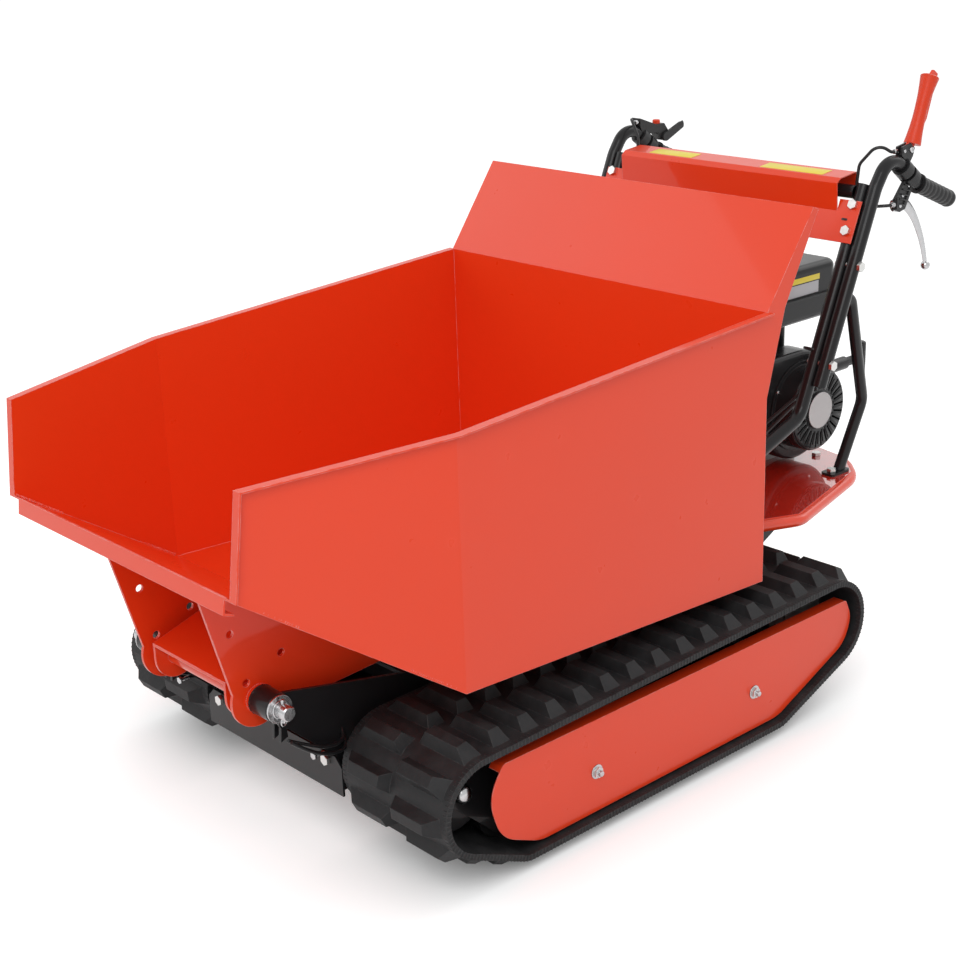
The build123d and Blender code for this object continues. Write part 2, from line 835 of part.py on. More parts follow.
for name, side in SIDES.items():
    mid_x = side * track_mid_x
    outer_plate_x = mid_x + side * frame_plate_out

    with BuildPart() as belt:
        with BuildSketch(Plane.YZ.offset(mid_x - belt_width / 2)):
            with BuildLine():
                loop_edges(loop_circles(belt_thickness))
            make_face()
            with BuildLine():
                loop_edges(loop_circles(0.0))
            make_face(mode=Mode.SUBTRACT)
        extrude(amount=belt_width)
        for row, row_shift in ((1, lug_phase), (-1, lug_phase + 0.5)):
            row_x = mid_x + row * (lug_row_gap + lug_row_length) / 2
            crest_from = lug_end_ramp if row < 0 else lug_end_ramp / 2
            crest_to = lug_row_length - (lug_end_ramp if row > 0 else lug_end_ramp / 2)
            for y, z, angle in loop_stations(loop_circles(belt_thickness - lug_root), lug_count, row_shift):
                with Locations(Location((row_x, y, z), (angle, 0, 0))):
                    Wedge(
                        lug_row_length,
                        lug_height + lug_root,
                        lug_base,
                        crest_from,
                        (lug_base - lug_crest) / 2,
                        crest_to,
                        (lug_base + lug_crest) / 2,
                        align=(Align.CENTER, Align.MIN, Align.CENTER),
                    )
        for y, z, angle in loop_stations(loop_circles(lug_root), lug_count, lug_phase + 0.25):
            with Locations(Location((mid_x, y, z), (angle + 180, 0, 0))):
                Wedge(
                    guide_width,
                    guide_height + lug_root,
                    guide_length,
                    guide_width / 5,
                    guide_length / 5,
                    guide_width * 4 / 5,
                    guide_length * 4 / 5,
                    align=(Align.CENTER, Align.MIN, Align.CENTER),
                )
    save(belt, f"track_belt_{name}")

    with BuildPart() as idler:
        guide_floor = idler_radius - guide_height - 4.0
        track_wheel(mid_x, idler_y, idler_z, idler_radius - wheel_gap, guide_floor, axle_radius + running_gap)
    save(idler, f"idler_{name}")

    for number, y in enumerate(roller_y, start=1):
        with BuildPart() as roller:
            guide_floor = roller_radius - guide_height - 3.0
            track_wheel(mid_x, y, roller_z, roller_radius - wheel_gap, guide_floor, axle_radius + running_gap)
        save(roller, f"roller_{name}_{number}")

    # Drive sprocket: two toothed discs either side of the guides, in one piece with its axle
    with BuildPart() as sprocket:
        tip_radius = sprocket_radius - wheel_gap
        tooth_width = 16.0
        tooth_height = 24.0
        disc_width = 10.0
        for start in (-disc_inner_x - disc_width, disc_inner_x):
            with BuildSketch(Plane.YZ.offset(mid_x + start)):
                with Locations((sprocket_y, sprocket_z)):
                    Circle(tip_radius - tooth_height / 2)
                    tooth_middle = math.sqrt(tip_radius**2 - (tooth_width / 2) ** 2) - tooth_height / 2
                    with PolarLocations(tooth_middle, sprocket_teeth):
                        Rectangle(tooth_height, tooth_width)
            extrude(amount=disc_width)
        hub_half = disc_inner_x + disc_width + 3.0
        cross_disc(mid_x - hub_half, 2 * hub_half, sprocket_y, sprocket_z, 2 * drive_axle_radius)
        inner_end = min(side * gearbox_bearing_x, mid_x + side * hub_half)
        axle_length = track_mid_x + hub_half - gearbox_bearing_x
        cross_disc(inner_end, axle_length, sprocket_y, sprocket_z, drive_axle_radius)
    save(sprocket, f"drive_sprocket_{name}")

    # Track frame: two plates with spacers, and stand-offs that carry the cover
    axle_places = [(idler_y, idler_z)] + [(y, roller_z) for y in roller_y]
    cover_bolts = [((side * cover_x, y, cover_bolt_z), (side, 0, 0)) for y in cover_bolt_y]
    with BuildPart() as track_frame:
        for start in (-frame_plate_out, track_plate_offset):
            side_plate(
                mid_x + start,
                track_plate,
                (
                    (idler_y, idler_z + idler_arm_radius),
                    (rear_roller_y + 69.0, idler_z + idler_arm_radius),
                    (rear_roller_y + 69.0, track_plate_bottom_z + 32.0),
                    (rear_roller_y + 12.0, track_plate_bottom_z),
                    (front_roller_y - 24.0, track_plate_bottom_z),
                    (idler_y - 6.0, idler_z - idler_arm_radius),
                ),
            )
            cross_disc(mid_x + start, track_plate, idler_y, idler_z, idler_arm_radius)
        for y in [place + spacer_shift for place in beam_y] + [rear_roller_y + 50.0]:
            cross_disc(mid_x - track_plate_offset, 2 * track_plate_offset, y, track_spacer_z, 12.0)
        for y in cover_bolt_y:
            start = min(outer_plate_x, side * (cover_x - cover_sheet - seat_gap))
            reach = cover_x - cover_sheet - seat_gap - side * outer_plate_x
            cross_disc(start, reach, y, cover_bolt_z, standoff_radius)
        for y, z in axle_places:
            cross_disc(mid_x - belt_width / 2, belt_width, y, z, axle_radius + running_gap, mode=Mode.SUBTRACT)
        for seat, outward in cover_bolts:
            bolt_hole(seat, outward, cover_bolt_length, track_bolt_radius)
        for seat, outward in beam_bolts:
            if outward[0] == side:
                bolt_hole(seat, outward, beam_bolt_length, track_bolt_radius)
    save(track_frame, f"track_frame_{name}")

    # Side cover: a rounded plate with a rim turned in along its top
    cover_plate_x = side * cover_x - (cover_sheet if side > 0 else 0.0)
    cover_rim_x = side * cover_x - (cover_flange if side > 0 else 0.0)
    with BuildPart() as cover:
        with BuildSketch(Plane.YZ.offset(cover_plate_x)):
            with BuildLine():
                cover_line()
            make_face()
        extrude(amount=cover_sheet)
        with BuildSketch(Plane.YZ.offset(cover_rim_x)) as rim:
            with BuildLine():
                cover_line()
            make_face()
            offset(amount=-cover_sheet, mode=Mode.SUBTRACT)
            with Locations((0, cover_bottom_z)):
                Rectangle(outline_reach, 2 * (cover_rim_from_z - cover_bottom_z), mode=Mode.SUBTRACT)
        extrude(amount=cover_flange)
        for seat, outward in cover_bolts:
            bolt_hole(seat, outward, cover_bolt_length, track_bolt_radius)
    save(cover, f"track_cover_{name}")

# Wheel axles with their nuts; the idler's outer nut is domed
with BuildPart() as track_axles:
    for side in SIDES.values():
        mid_x = side * track_mid_x
        nut_start = frame_plate_out + seat_gap
        for y, z in [(idler_y, idler_z)] + [(y, roller_z) for y in roller_y]:
            cross_disc(mid_x - nut_start, 2 * nut_start, y, z, axle_radius)
            cross_disc(mid_x - nut_start - axle_nut_length, axle_nut_length, y, z, nut_radius)
            cross_disc(mid_x + nut_start, axle_nut_length, y, z, nut_radius)
save(track_axles, "track_axles")

# Gearbox between the chassis plates, with the drive axles' bearings and a hanger bar under the deck
with BuildPart() as gearbox:
    with Locations((0, sprocket_y, (gearbox_bottom_z + gearbox_top_z) / 2)):
        Box(2 * gearbox_half_width, gearbox_length, gearbox_top_z - gearbox_bottom_z)
    fillet(gearbox.edges().filter_by(Axis.X), radius=18.0)
    for start in (-gearbox_half_width - gearbox_boss, gearbox_half_width):
        cross_disc(start, gearbox_boss, sprocket_y, sprocket_z, 2 * drive_axle_radius)
    with Locations((0, sprocket_y - gearbox_length / 4, gearbox_top_z - 15.0)):
        Box(2 * (plate_inner_x - seat_gap), 40.0, 30.0)
    cross_disc(-gearbox_half_width, 45.0, gearbox_pulley_y, gearbox_pulley_z, 30.0)
    with Locations((-gearbox_half_width + 22.5, gearbox_pulley_y - 10.0, gearbox_top_z - 10.0)):
        Box(45.0, 60.0, 30.0)
    for side in SIDES.values():
        start = min(side * gearbox_bearing_x, side * (gearbox_half_width + gearbox_boss))
        depth = gearbox_half_width + gearbox_boss - gearbox_bearing_x
        bore = drive_axle_radius + running_gap
        cross_disc(start, depth, sprocket_y, sprocket_z, bore, mode=Mode.SUBTRACT)
    shaft_seat_x = -gearbox_half_width + 30.0
    shaft_bore = crank_radius + running_gap
    cross_disc(-gearbox_half_width, 30.0, gearbox_pulley_y, gearbox_pulley_z, shaft_bore, mode=Mode.SUBTRACT)
save(gearbox, "gearbox")


def grooved_pulley(y, z, radius):
    """A belt pulley at the drive's place, with a flat groove between two flanges."""
    cross_disc(pulley_x - pulley_width / 2, pulley_width, y, z, radius)
    groove = pulley_width - 2 * pulley_flange
    with BuildSketch(Plane.YZ.offset(pulley_x - groove / 2)) as ring:
        with Locations((y, z)):
            Circle(radius)
            Circle(radius - groove_depth, mode=Mode.SUBTRACT)
    extrude(ring.sketch, amount=groove, mode=Mode.SUBTRACT)


def v_belt_circles(rise):
    """The drive belt's turning circles at a height above the groove floors."""
    return [
        (gearbox_pulley_y, gearbox_pulley_z, gearbox_pulley_radius - groove_depth + rise),
        (crank_y, crank_z, engine_pulley_radius - groove_depth + rise),
    ]


with BuildPart() as gearbox_pulley:
    grooved_pulley(gearbox_pulley_y, gearbox_pulley_z, gearbox_pulley_radius)
    shaft_start = pulley_x - pulley_width / 2 - 4.0
    cross_disc(shaft_start, shaft_seat_x - shaft_start, gearbox_pulley_y, gearbox_pulley_z, crank_radius)
save(gearbox_pulley, "gearbox_pulley")

with BuildPart() as drive_belt:
    belt_half = pulley_width / 2 - pulley_flange - seat_gap
    with BuildSketch(Plane.YZ.offset(pulley_x - belt_half)):
        with BuildLine():
            loop_edges(v_belt_circles(seat_gap + v_belt_thickness))
        make_face()
        with BuildLine():
            loop_edges(v_belt_circles(seat_gap))
        make_face(mode=Mode.SUBTRACT)
    extrude(amount=2 * belt_half)
save(drive_belt, "drive_belt")

# Guard over the engine pulley and the belt above the deck
with BuildPart() as belt_guard:
    guard_outer_x = pulley_x - pulley_width / 2 - guard_side_gap
    with BuildSketch(Plane.YZ.offset(guard_outer_x - cover_sheet)):
        with BuildLine():
            loop_edges(v_belt_circles(belt_guard_rise))
        make_face()
    extrude(amount=cover_sheet)
    with BuildSketch(Plane.YZ.offset(guard_outer_x)):
        with BuildLine():
            loop_edges(v_belt_circles(belt_guard_rise))
        make_face()
        with BuildLine():
            loop_edges(v_belt_circles(belt_guard_rise - cover_sheet))
        make_face(mode=Mode.SUBTRACT)
    extrude(amount=guard_side_gap + pulley_width)
    with BuildSketch():
        Rectangle(outline_reach, outline_reach)
    extrude(amount=deck_top_z, mode=Mode.SUBTRACT)
save(belt_guard, "belt_guard")

# Rubber pads on the chassis, under the bed's floor
with BuildPart() as rest_pads:
    for x in (-pad_x, pad_x):
        side_plate(
            x - pad_radius,
            2 * pad_radius,
            (
                (pad_y - pad_radius, frame_top_z),
                (pad_y + pad_radius, frame_top_z),
                (pad_y + pad_radius, bed_underside_z(pad_y + pad_radius) - 2 * seat_gap),
                (pad_y - pad_radius, bed_underside_z(pad_y - pad_radius) - 2 * seat_gap),
            ),
        )
save(rest_pads, "bed_rest_pads")

# Engine deck: a plate edged with a bent tube, slotted for the drive belt
rail_points = [
    (deck_front_half_width, deck_front_y),
    (deck_half_width - 36.0, deck_front_y + 82.0),
    (deck_half_width - 1.0, deck_front_y + 160.0),
    (deck_half_width - 70.0, deck_rear_y - 88.0),
    (deck_rear_half_width, deck_rear_y - 28.0),
    (deck_rear_half_width - 80.0, deck_rear_y - rail_radius),
]
rail_z = deck_top_z - rail_radius - 1.0
rail_route = [(x, y, rail_z) for x, y in rail_points] + [(-x, y, rail_z) for x, y in reversed(rail_points)]
rail_bends = [60.0, 40.0, 120.0, 90.0, 60.0, 60.0, 90.0, 120.0, 40.0, 60.0]
slot_y = (gearbox_pulley_y - 10.0, crank_y - 25.0)
slot_x = (pulley_x - pulley_width / 2 - 8.0, pulley_x + pulley_width / 2 + 8.0)
engine_base_y = (crankcase_y[0] - 22.0, crankcase_y[1] + 22.0)
engine_base_z = deck_top_z + 10.0
engine_bolts = [
    ((x, y, engine_base_z), (0, 0, 1))
    for x in (crankcase_x[0] + 16.0, crankcase_x[1] - 16.0)
    for y in (engine_base_y[0] + 11.0, engine_base_y[1] - 11.0)
]
riser_foot_y = deck_front_y + 31.0
stay_foot_x = 242.0
stay_foot_y = 630.0
foot_sheet = 5.0
foot_bolts = [
    ((side * x, y, deck_top_z + foot_sheet), (0, 0, 1))
    for side in SIDES.values()
    for x, y in (
        (riser_x - 28.0, riser_foot_y - 14.0),
        (riser_x - 28.0, riser_foot_y + 14.0),
        (stay_foot_x, stay_foot_y - 24.0),
    )
]

with BuildPart() as engine_deck:
    tube(rail_route, rail_bends, rail_radius, 0.0)
    with BuildSketch(Plane.XY.offset(deck_bottom_z)):
        with BuildLine():
            plate_edge = [(x - 4.0, y) for x, y in rail_points]
            Polyline(*plate_edge, *[(-x, y) for x, y in reversed(plate_edge)], close=True)
        make_face()
        with Locations(((slot_x[0] + slot_x[1]) / 2, (slot_y[0] + slot_y[1]) / 2)):
            Rectangle(slot_x[1] - slot_x[0], slot_y[1] - slot_y[0], mode=Mode.SUBTRACT)
        with Locations(*[(side * cable_hole_x, y) for side in SIDES.values() for y in cable_hole_y]):
            Circle(cable_hole_radius, mode=Mode.SUBTRACT)
    extrude(amount=deck_sheet)
    for seat, outward in deck_bolts + engine_bolts + foot_bolts:
        bolt_hole(seat, outward, deck_bolt_length, frame_bolt_radius)
save(engine_deck, "engine_deck")

# Engine: crankcase standing on the deck, bored for the crankshaft
case_x = (crankcase_x[0] + crankcase_x[1]) / 2
case_width = crankcase_x[1] - crankcase_x[0]
case_y = (crankcase_y[0] + crankcase_y[1]) / 2
case_length = crankcase_y[1] - crankcase_y[0]
with BuildPart() as crankcase:
    with BuildSketch(Plane.XY.offset(deck_top_z)):
        with Locations((case_x, case_y)):
            RectangleRounded(case_width, case_length, crankcase_round)
    extrude(amount=crankcase_top_z - deck_top_z)
    fillet(crankcase.faces().sort_by(Axis.Z)[-1].edges(), radius=crankcase_round * 0.6)
    with BuildSketch(Plane.XY.offset(deck_top_z)):
        with Locations((case_x, case_y)):
            Rectangle(case_width, engine_base_y[1] - engine_base_y[0])
    extrude(amount=engine_base_z - deck_top_z)
    for seat, outward in engine_bolts:
        bolt_hole(seat, outward, deck_bolt_length, frame_bolt_radius)
    shaft_bore = crank_radius + running_gap
    cross_disc(crankcase_x[0], case_width, crank_y, crank_z, shaft_bore, mode=Mode.SUBTRACT)
save(crankcase, "crankcase")

# Cylinder with its fins and rounded head, lying forward of the crankcase
cylinder_start_y = crankcase_y[0] - seat_gap
cylinder_end_y = cylinder_start_y - cylinder_length
with BuildPart() as cylinder_head:
    with BuildSketch(Plane.XZ.offset(-cylinder_start_y)):
        with Locations((0, cylinder_z)):
            RectangleRounded(2 * cylinder_half_width, 2 * cylinder_half_width, 14.0)
    extrude(amount=cylinder_length)
    fillet(cylinder_head.faces().sort_by(Axis.Y)[0].edges(), radius=8.0)
    fin_width = 2 * (cylinder_half_width + fin_reach)
    for number in range(fin_count):
        fin_y = cylinder_start_y - (number + 1) * fin_pitch
        with BuildSketch(Plane.XZ.offset(-fin_y)):
            with Locations((0, cylinder_z)):
                RectangleRounded(fin_width, fin_width, 20.0)
        extrude(amount=fin_thickness)
    with BuildSketch(Plane.XZ.offset(-cylinder_end_y)):
        with Locations((0, cylinder_z)):
            Circle(plug_radius + running_gap)
    extrude(amount=-plug_thread, mode=Mode.SUBTRACT)
save(cylinder_head, "cylinder_head")

with BuildPart() as spark_plug:
    rod((0, cylinder_end_y + plug_thread, cylinder_z), (0, cylinder_end_y - seat_gap, cylinder_z), plug_radius)
    rod((0, cylinder_end_y - seat_gap, cylinder_z), (0, cylinder_end_y - 38.0, cylinder_z), 1.6 * plug_radius)
save(spark_plug, "spark_plug")

# Blower housing: a drum round the flywheel with a duct towards the cylinder, open at the back
blower_x = crankcase_x[1] + seat_gap
blower_face_x = blower_x + blower_depth


def blower_outline(inset):
    """Drum and duct outline, drawn in from the outside by the inset."""
    with Locations((crank_y, crank_z)):
        Circle(blower_radius - inset)
    duct_top = crank_z + blower_radius - inset
    duct_bottom = crank_z + 10.0 + inset
    with Locations(((blower_duct_y + inset + crank_y) / 2, (duct_top + duct_bottom) / 2)):
        Rectangle(crank_y - blower_duct_y - inset, duct_top - duct_bottom)


with BuildPart() as blower_housing:
    with BuildSketch(Plane.YZ.offset(blower_x)):
        blower_outline(0.0)
    extrude(amount=blower_depth)
    fillet(blower_housing.faces().sort_by(Axis.X)[-1].edges(), radius=8.0)
    with BuildSketch(Plane.YZ.offset(blower_x)):
        blower_outline(blower_wall)
    extrude(amount=blower_depth - blower_wall, mode=Mode.SUBTRACT)
    inlet_radius = recoil_radius - 6.0
    inlet_x = blower_face_x - 2 * blower_wall
    cross_disc(inlet_x, 3 * blower_wall, crank_y, crank_z, inlet_radius, mode=Mode.SUBTRACT)
save(blower_housing, "blower_housing")

# Recoil starter cover: a slotted drum with a bare badge disc and the guide that the rope leaves by
recoil_x = blower_face_x + seat_gap
recoil_face_x = recoil_x + recoil_depth
with BuildPart() as recoil_cover:
    cross_disc(recoil_x, 4.0, crank_y, crank_z, recoil_radius + recoil_flange)
    cross_disc(recoil_x, recoil_depth, crank_y, crank_z, recoil_radius)
    fillet(recoil_cover.faces().sort_by(Axis.X)[-1].edges(), radius=10.0)
    rod((rope_guide_x, crank_y, rope_guide_z), (rope_guide_x, rope_guide_y, rope_guide_z), rope_guide_radius)
    inside_depth = recoil_depth - blower_wall
    cross_disc(recoil_x, inside_depth, crank_y, crank_z, recoil_radius - blower_wall, mode=Mode.SUBTRACT)
    with BuildSketch(Plane.YZ.offset(recoil_face_x - 2 * blower_wall)):
        slot_middle = (slot_inner_radius + slot_outer_radius) / 2
        with Locations((crank_y, crank_z)):
            with PolarLocations(slot_middle, recoil_slots):
                Rectangle(slot_outer_radius - slot_inner_radius, slot_width)
    extrude(amount=3 * blower_wall, mode=Mode.SUBTRACT)
    cross_disc(recoil_face_x - blower_wall, 2 * blower_wall, crank_y, crank_z, badge_radius)
save(recoil_cover, "recoil_cover")

# Crankshaft with the flywheel in the blower and the drive pulley at its other end
with BuildPart() as crankshaft:
    shaft_end_x = pulley_x - pulley_width / 2 - 4.0
    cross_disc(shaft_end_x, blower_face_x - 12.0 - shaft_end_x, crank_y, crank_z, crank_radius)
    cross_disc(blower_x + 12.0, flywheel_width, crank_y, crank_z, flywheel_radius)
    grooved_pulley(crank_y, crank_z, engine_pulley_radius)
save(crankshaft, "crankshaft")

with BuildPart() as starter_grip:
    stem_start = (rope_guide_x, rope_guide_y + seat_gap, rope_guide_z)
    rod(stem_start, (rope_guide_x, starter_bar_y, rope_guide_z), starter_stem_radius)
    with BuildSketch(Plane.XY.offset(rope_guide_z - starter_bar_height / 2)):
        with Locations((rope_guide_x, starter_bar_y)):
            Circle(starter_bar_radius)
    extrude(amount=starter_bar_height)
    bar_rims = starter_grip.edges().filter_by(GeomType.CIRCLE).filter_by_position(
        Axis.Z, rope_guide_z - starter_bar_height, rope_guide_z - starter_bar_height / 2 + 0.1
    ) + starter_grip.edges().filter_by(GeomType.CIRCLE).filter_by_position(
        Axis.Z, rope_guide_z + starter_bar_height / 2 - 0.1, rope_guide_z + starter_bar_height
    )
    fillet(bar_rims, radius=5.0)
save(starter_grip, "starter_grip")

# Fuel tank on four posts over the crankcase, with a seam round its middle and a filler neck
tank_mid_x = (tank_x[0] + tank_x[1]) / 2
tank_mid_y = (tank_y[0] + tank_y[1]) / 2
tank_width = tank_x[1] - tank_x[0]
tank_length = tank_y[1] - tank_y[0]
with BuildPart() as fuel_tank:
    with BuildSketch(Plane.XY.offset(tank_bottom_z)):
        with Locations((tank_mid_x, tank_mid_y)):
            RectangleRounded(tank_width, tank_length, tank_round)
    extrude(amount=tank_height)
    fillet(fuel_tank.faces().sort_by(Axis.Z)[-1].edges(), radius=tank_round * 0.6)
    fillet(fuel_tank.faces().sort_by(Axis.Z)[0].edges(), radius=tank_round * 0.6)
    with BuildSketch(Plane.XY.offset(tank_seam_z - 2.0)):
        with Locations((tank_mid_x, tank_mid_y)):
            RectangleRounded(tank_width + 10.0, tank_length + 10.0, tank_round + 5.0)
    extrude(amount=4.0)
    with BuildSketch(Plane.XY.offset(crankcase_top_z)):
        with Locations((case_x, case_y)):
            with GridLocations(case_width - 70.0, case_length - 60.0, 2, 2):
                Circle(11.0)
    extrude(amount=tank_bottom_z - crankcase_top_z + 5.0)
    with BuildSketch(Plane.XY.offset(tank_bottom_z + tank_height)):
        with Locations((cap_x, tank_mid_y)):
            Circle(cap_radius - 6.0)
    extrude(amount=neck_height)
save(fuel_tank, "fuel_tank")

with BuildPart() as fuel_cap:
    neck_top_z = tank_bottom_z + tank_height + neck_height
    with BuildSketch(Plane.XY.offset(neck_top_z + seat_gap)):
        with Locations((cap_x, tank_mid_y)):
            Circle(cap_radius)
            with PolarLocations(cap_radius, 18):
                Circle(1.6, mode=Mode.SUBTRACT)
    extrude(amount=cap_height)
    with BuildSketch(Plane.XY.offset(neck_top_z + seat_gap + cap_height)):
        with Locations((cap_x, tank_mid_y)):
            SlotOverall(1.6 * cap_radius, 12.0)
    extrude(amount=6.0)
save(fuel_cap, "fuel_cap")

# Carburettor over the cylinder, with the air cleaner in front of it and the muffler on the other side
fin_top_z = cylinder_z + cylinder_half_width + fin_reach
with BuildPart() as carburettor:
    with BuildSketch(Plane.XY.offset(carburettor_z)):
        with Locations((carburettor_x, carburettor_y)):
            RectangleRounded(48.0, 44.0, 8.0)
    extrude(amount=carburettor_height)
    intake_x = carburettor_x - 28.0
    rod((intake_x, carburettor_y, fin_top_z + seat_gap), (intake_x, carburettor_y, carburettor_z + 6.0), 11.0)
    rod(
        (carburettor_x + 10.0, carburettor_y, carburettor_z + 18.0),
        (carburettor_x + 48.0, carburettor_y, carburettor_z + 18.0),
        9.0,
    )
    throat_z = carburettor_z + carburettor_height / 2
    rod(
        (carburettor_x, carburettor_y, throat_z),
        (carburettor_x, air_cleaner_y[1] + seat_gap, throat_z),
        14.0,
    )
save(carburettor, "carburettor")

with BuildPart() as air_cleaner:
    with BuildSketch(Plane.XY.offset(carburettor_z - 4.0)):
        with Locations((carburettor_x, (air_cleaner_y[0] + air_cleaner_y[1]) / 2)):
            RectangleRounded(110.0, air_cleaner_y[1] - air_cleaner_y[0], 16.0)
    extrude(amount=air_cleaner_height)
    fillet(air_cleaner.faces().sort_by(Axis.Z)[-1].edges(), radius=12.0)
save(air_cleaner, "air_cleaner")

with BuildPart() as muffler:
    with BuildSketch(Plane.XY.offset(muffler_z)):
        with Locations((muffler_x, (air_cleaner_y[0] + air_cleaner_y[1]) / 2)):
            RectangleRounded(muffler_width, air_cleaner_y[1] - air_cleaner_y[0], 18.0)
    extrude(amount=muffler_height)
    fillet(muffler.faces().sort_by(Axis.Z)[-1].edges(), radius=12.0)
    rod(
        (muffler_x + muffler_width / 2 - 14.0, air_cleaner_y[1] - 16.0, fin_top_z + seat_gap),
        (muffler_x + muffler_width / 2 - 14.0, air_cleaner_y[1] - 16.0, muffler_z + 6.0),
        11.0,
    )
save(muffler, "muffler")


# Handle frame: risers bent up from the deck, handlebars beside them and stays behind
def riser_y(z):
    """The riser's centre line on its sloping upper run."""
    return riser_bend_y + (z - riser_bend_z) * riser_lean


slope_length = math.hypot(1.0, riser_lean)
riser_back = (0.0, 1.0 / slope_length, -riser_lean / slope_length)
grip_heading = (0.0, math.cos(math.radians(grip_angle)), -math.sin(math.radians(grip_angle)))
grip_rim = grip_radius - grip_chamfer
grip_end = (grip_end_y - grip_rim * math.sin(math.radians(grip_angle)), grip_end_z)
bar_bend_y = grip_end[0] - (grip_length + 6.0) * grip_heading[1]
bar_bend_z = grip_end[1] - (grip_length + 6.0) * grip_heading[2]
bar_fall = (bar_bend_z - gooseneck_z) / (bar_bend_y - gooseneck_y)
bar_slope = math.hypot(1.0, bar_fall)
bar_heading = (0.0, 1.0 / bar_slope, bar_fall / bar_slope)


def bar_z(y):
    """The handlebar's centre line between the gooseneck and the grip's bend."""
    return gooseneck_z + (y - gooseneck_y) * bar_fall


bar_bolts = [
    ((side * (handlebar_x + tube_radius), riser_y(z), z), (side, 0, 0))
    for side in SIDES.values()
    for z in bar_bolt_z
]
bar_bolt_length = 4 * tube_radius + 2 * seat_gap
panel_front = tube_radius + seat_gap + cowling_sheet
cowling_bolts = [
    (
        (side * riser_x, riser_y(z) - panel_front * riser_back[1], z - panel_front * riser_back[2]),
        tuple(-part for part in riser_back),
    )
    for side in SIDES.values()
    for z in cowling_bolt_z
]
cowling_bolt_length = 12.0

for name, side in SIDES.items():
    with BuildPart() as riser:
        tube(
            [
                (side * riser_x, riser_foot_y, deck_top_z + 1.0),
                (side * riser_x, riser_foot_y, riser_knee_z),
                (side * riser_x, riser_bend_y, riser_bend_z),
                (side * riser_x, riser_y(riser_top_z), riser_top_z),
            ],
            [70.0, 45.0],
            tube_radius,
            tube_radius - tube_wall,
        )
        with BuildSketch(Plane.XY.offset(deck_top_z)):
            with Locations((side * (riser_x - 9.0), riser_foot_y)):
                RectangleRounded(60.0, 50.0, 6.0)
                with Locations((side * 9.0, 0)):
                    Circle(tube_radius - tube_wall, mode=Mode.SUBTRACT)
        extrude(amount=foot_sheet)
        for seat, outward in foot_bolts:
            if seat[0] * side > 0 and abs(seat[1] - riser_foot_y) < 20.0:
                bolt_hole(seat, outward, deck_bolt_length, frame_bolt_radius)
        for seat, outward in bar_bolts:
            if outward[0] == side:
                bolt_hole(seat, outward, bar_bolt_length, track_bolt_radius)
        for seat, outward in cowling_bolts:
            if seat[0] * side > 0:
                bolt_hole(seat, outward, cowling_bolt_length, track_bolt_radius)
    save(riser, f"riser_{name}")

    with BuildPart() as handlebar:
        bar_end = (
            side * handlebar_x,
            grip_end[0] - (grip_wall + seat_gap) * grip_heading[1],
            grip_end[1] - (grip_wall + seat_gap) * grip_heading[2],
        )
        tube(
            [
                (side * handlebar_x, riser_y(bar_foot_z), bar_foot_z),
                (side * handlebar_x, riser_y(bar_turn_z), bar_turn_z),
                (side * handlebar_x, gooseneck_y, gooseneck_z),
                (side * handlebar_x, bar_bend_y, bar_bend_z),
                bar_end,
            ],
            [60.0, 40.0, 60.0],
            tube_radius,
            tube_radius - tube_wall,
        )
        for seat, outward in bar_bolts:
            if outward[0] == side:
                bolt_hole(seat, outward, bar_bolt_length, track_bolt_radius)
    save(handlebar, f"handlebar_{name}")

    with BuildPart() as grip:
        grip_tip = (side * handlebar_x, *grip_end)
        grip_start = along(grip_tip, bar_end, grip_length)
        rod(grip_start, grip_tip, grip_radius)
        chamfer(grip.edges().filter_by(GeomType.CIRCLE), length=grip_chamfer)
        rod(grip_start, bar_end, tube_radius + running_gap, mode=Mode.SUBTRACT)
        bore_end = along(grip_start, grip_tip, grip_length - grip_wall)
        rod(bar_end, bore_end, tube_radius + running_gap, mode=Mode.SUBTRACT)
    save(grip, f"grip_{name}")

with BuildPart() as handle_stays:
    for side in SIDES.values():
        rear_gap = tube_radius + seat_gap
        stay_top = Vector(side * riser_x, riser_y(stay_top_z), stay_top_z)
        stay_end = tuple(stay_top + Vector(*riser_back) * rear_gap)
        stay_elbow = tuple(Vector(*stay_end) + Vector(*riser_back) * 44.0)
        tube(
            [
                (side * stay_foot_x, stay_foot_y, deck_top_z + foot_sheet - 1.0),
                (side * stay_bend_x, stay_bend_y, stay_bend_z),
                stay_elbow,
                stay_end,
            ],
            [40.0, 25.0],
            stay_radius,
            stay_radius - tube_wall,
        )
        with BuildSketch(Plane.XY.offset(deck_top_z)):
            with Locations((side * stay_foot_x, stay_foot_y - 11.0)):
                RectangleRounded(30.0, 56.0, 6.0)
        extrude(amount=foot_sheet)
    for seat, outward in foot_bolts:
        if abs(seat[1] - stay_foot_y) < 30.0:
            bolt_hole(seat, outward, deck_bolt_length, frame_bolt_radius)
save(handle_stays, "handle_stays")

cross_tube_y = riser_y(cross_tube_z)
with BuildPart() as cross_tube:
    cross_reach = riser_x - tube_radius - seat_gap
    cross_disc(-cross_reach, 2 * cross_reach, cross_tube_y, cross_tube_z, tube_radius)
    bore = tube_radius - tube_wall
    cross_disc(-cross_reach, 2 * cross_reach, cross_tube_y, cross_tube_z, bore, mode=Mode.SUBTRACT)
save(cross_tube, "cross_tube")

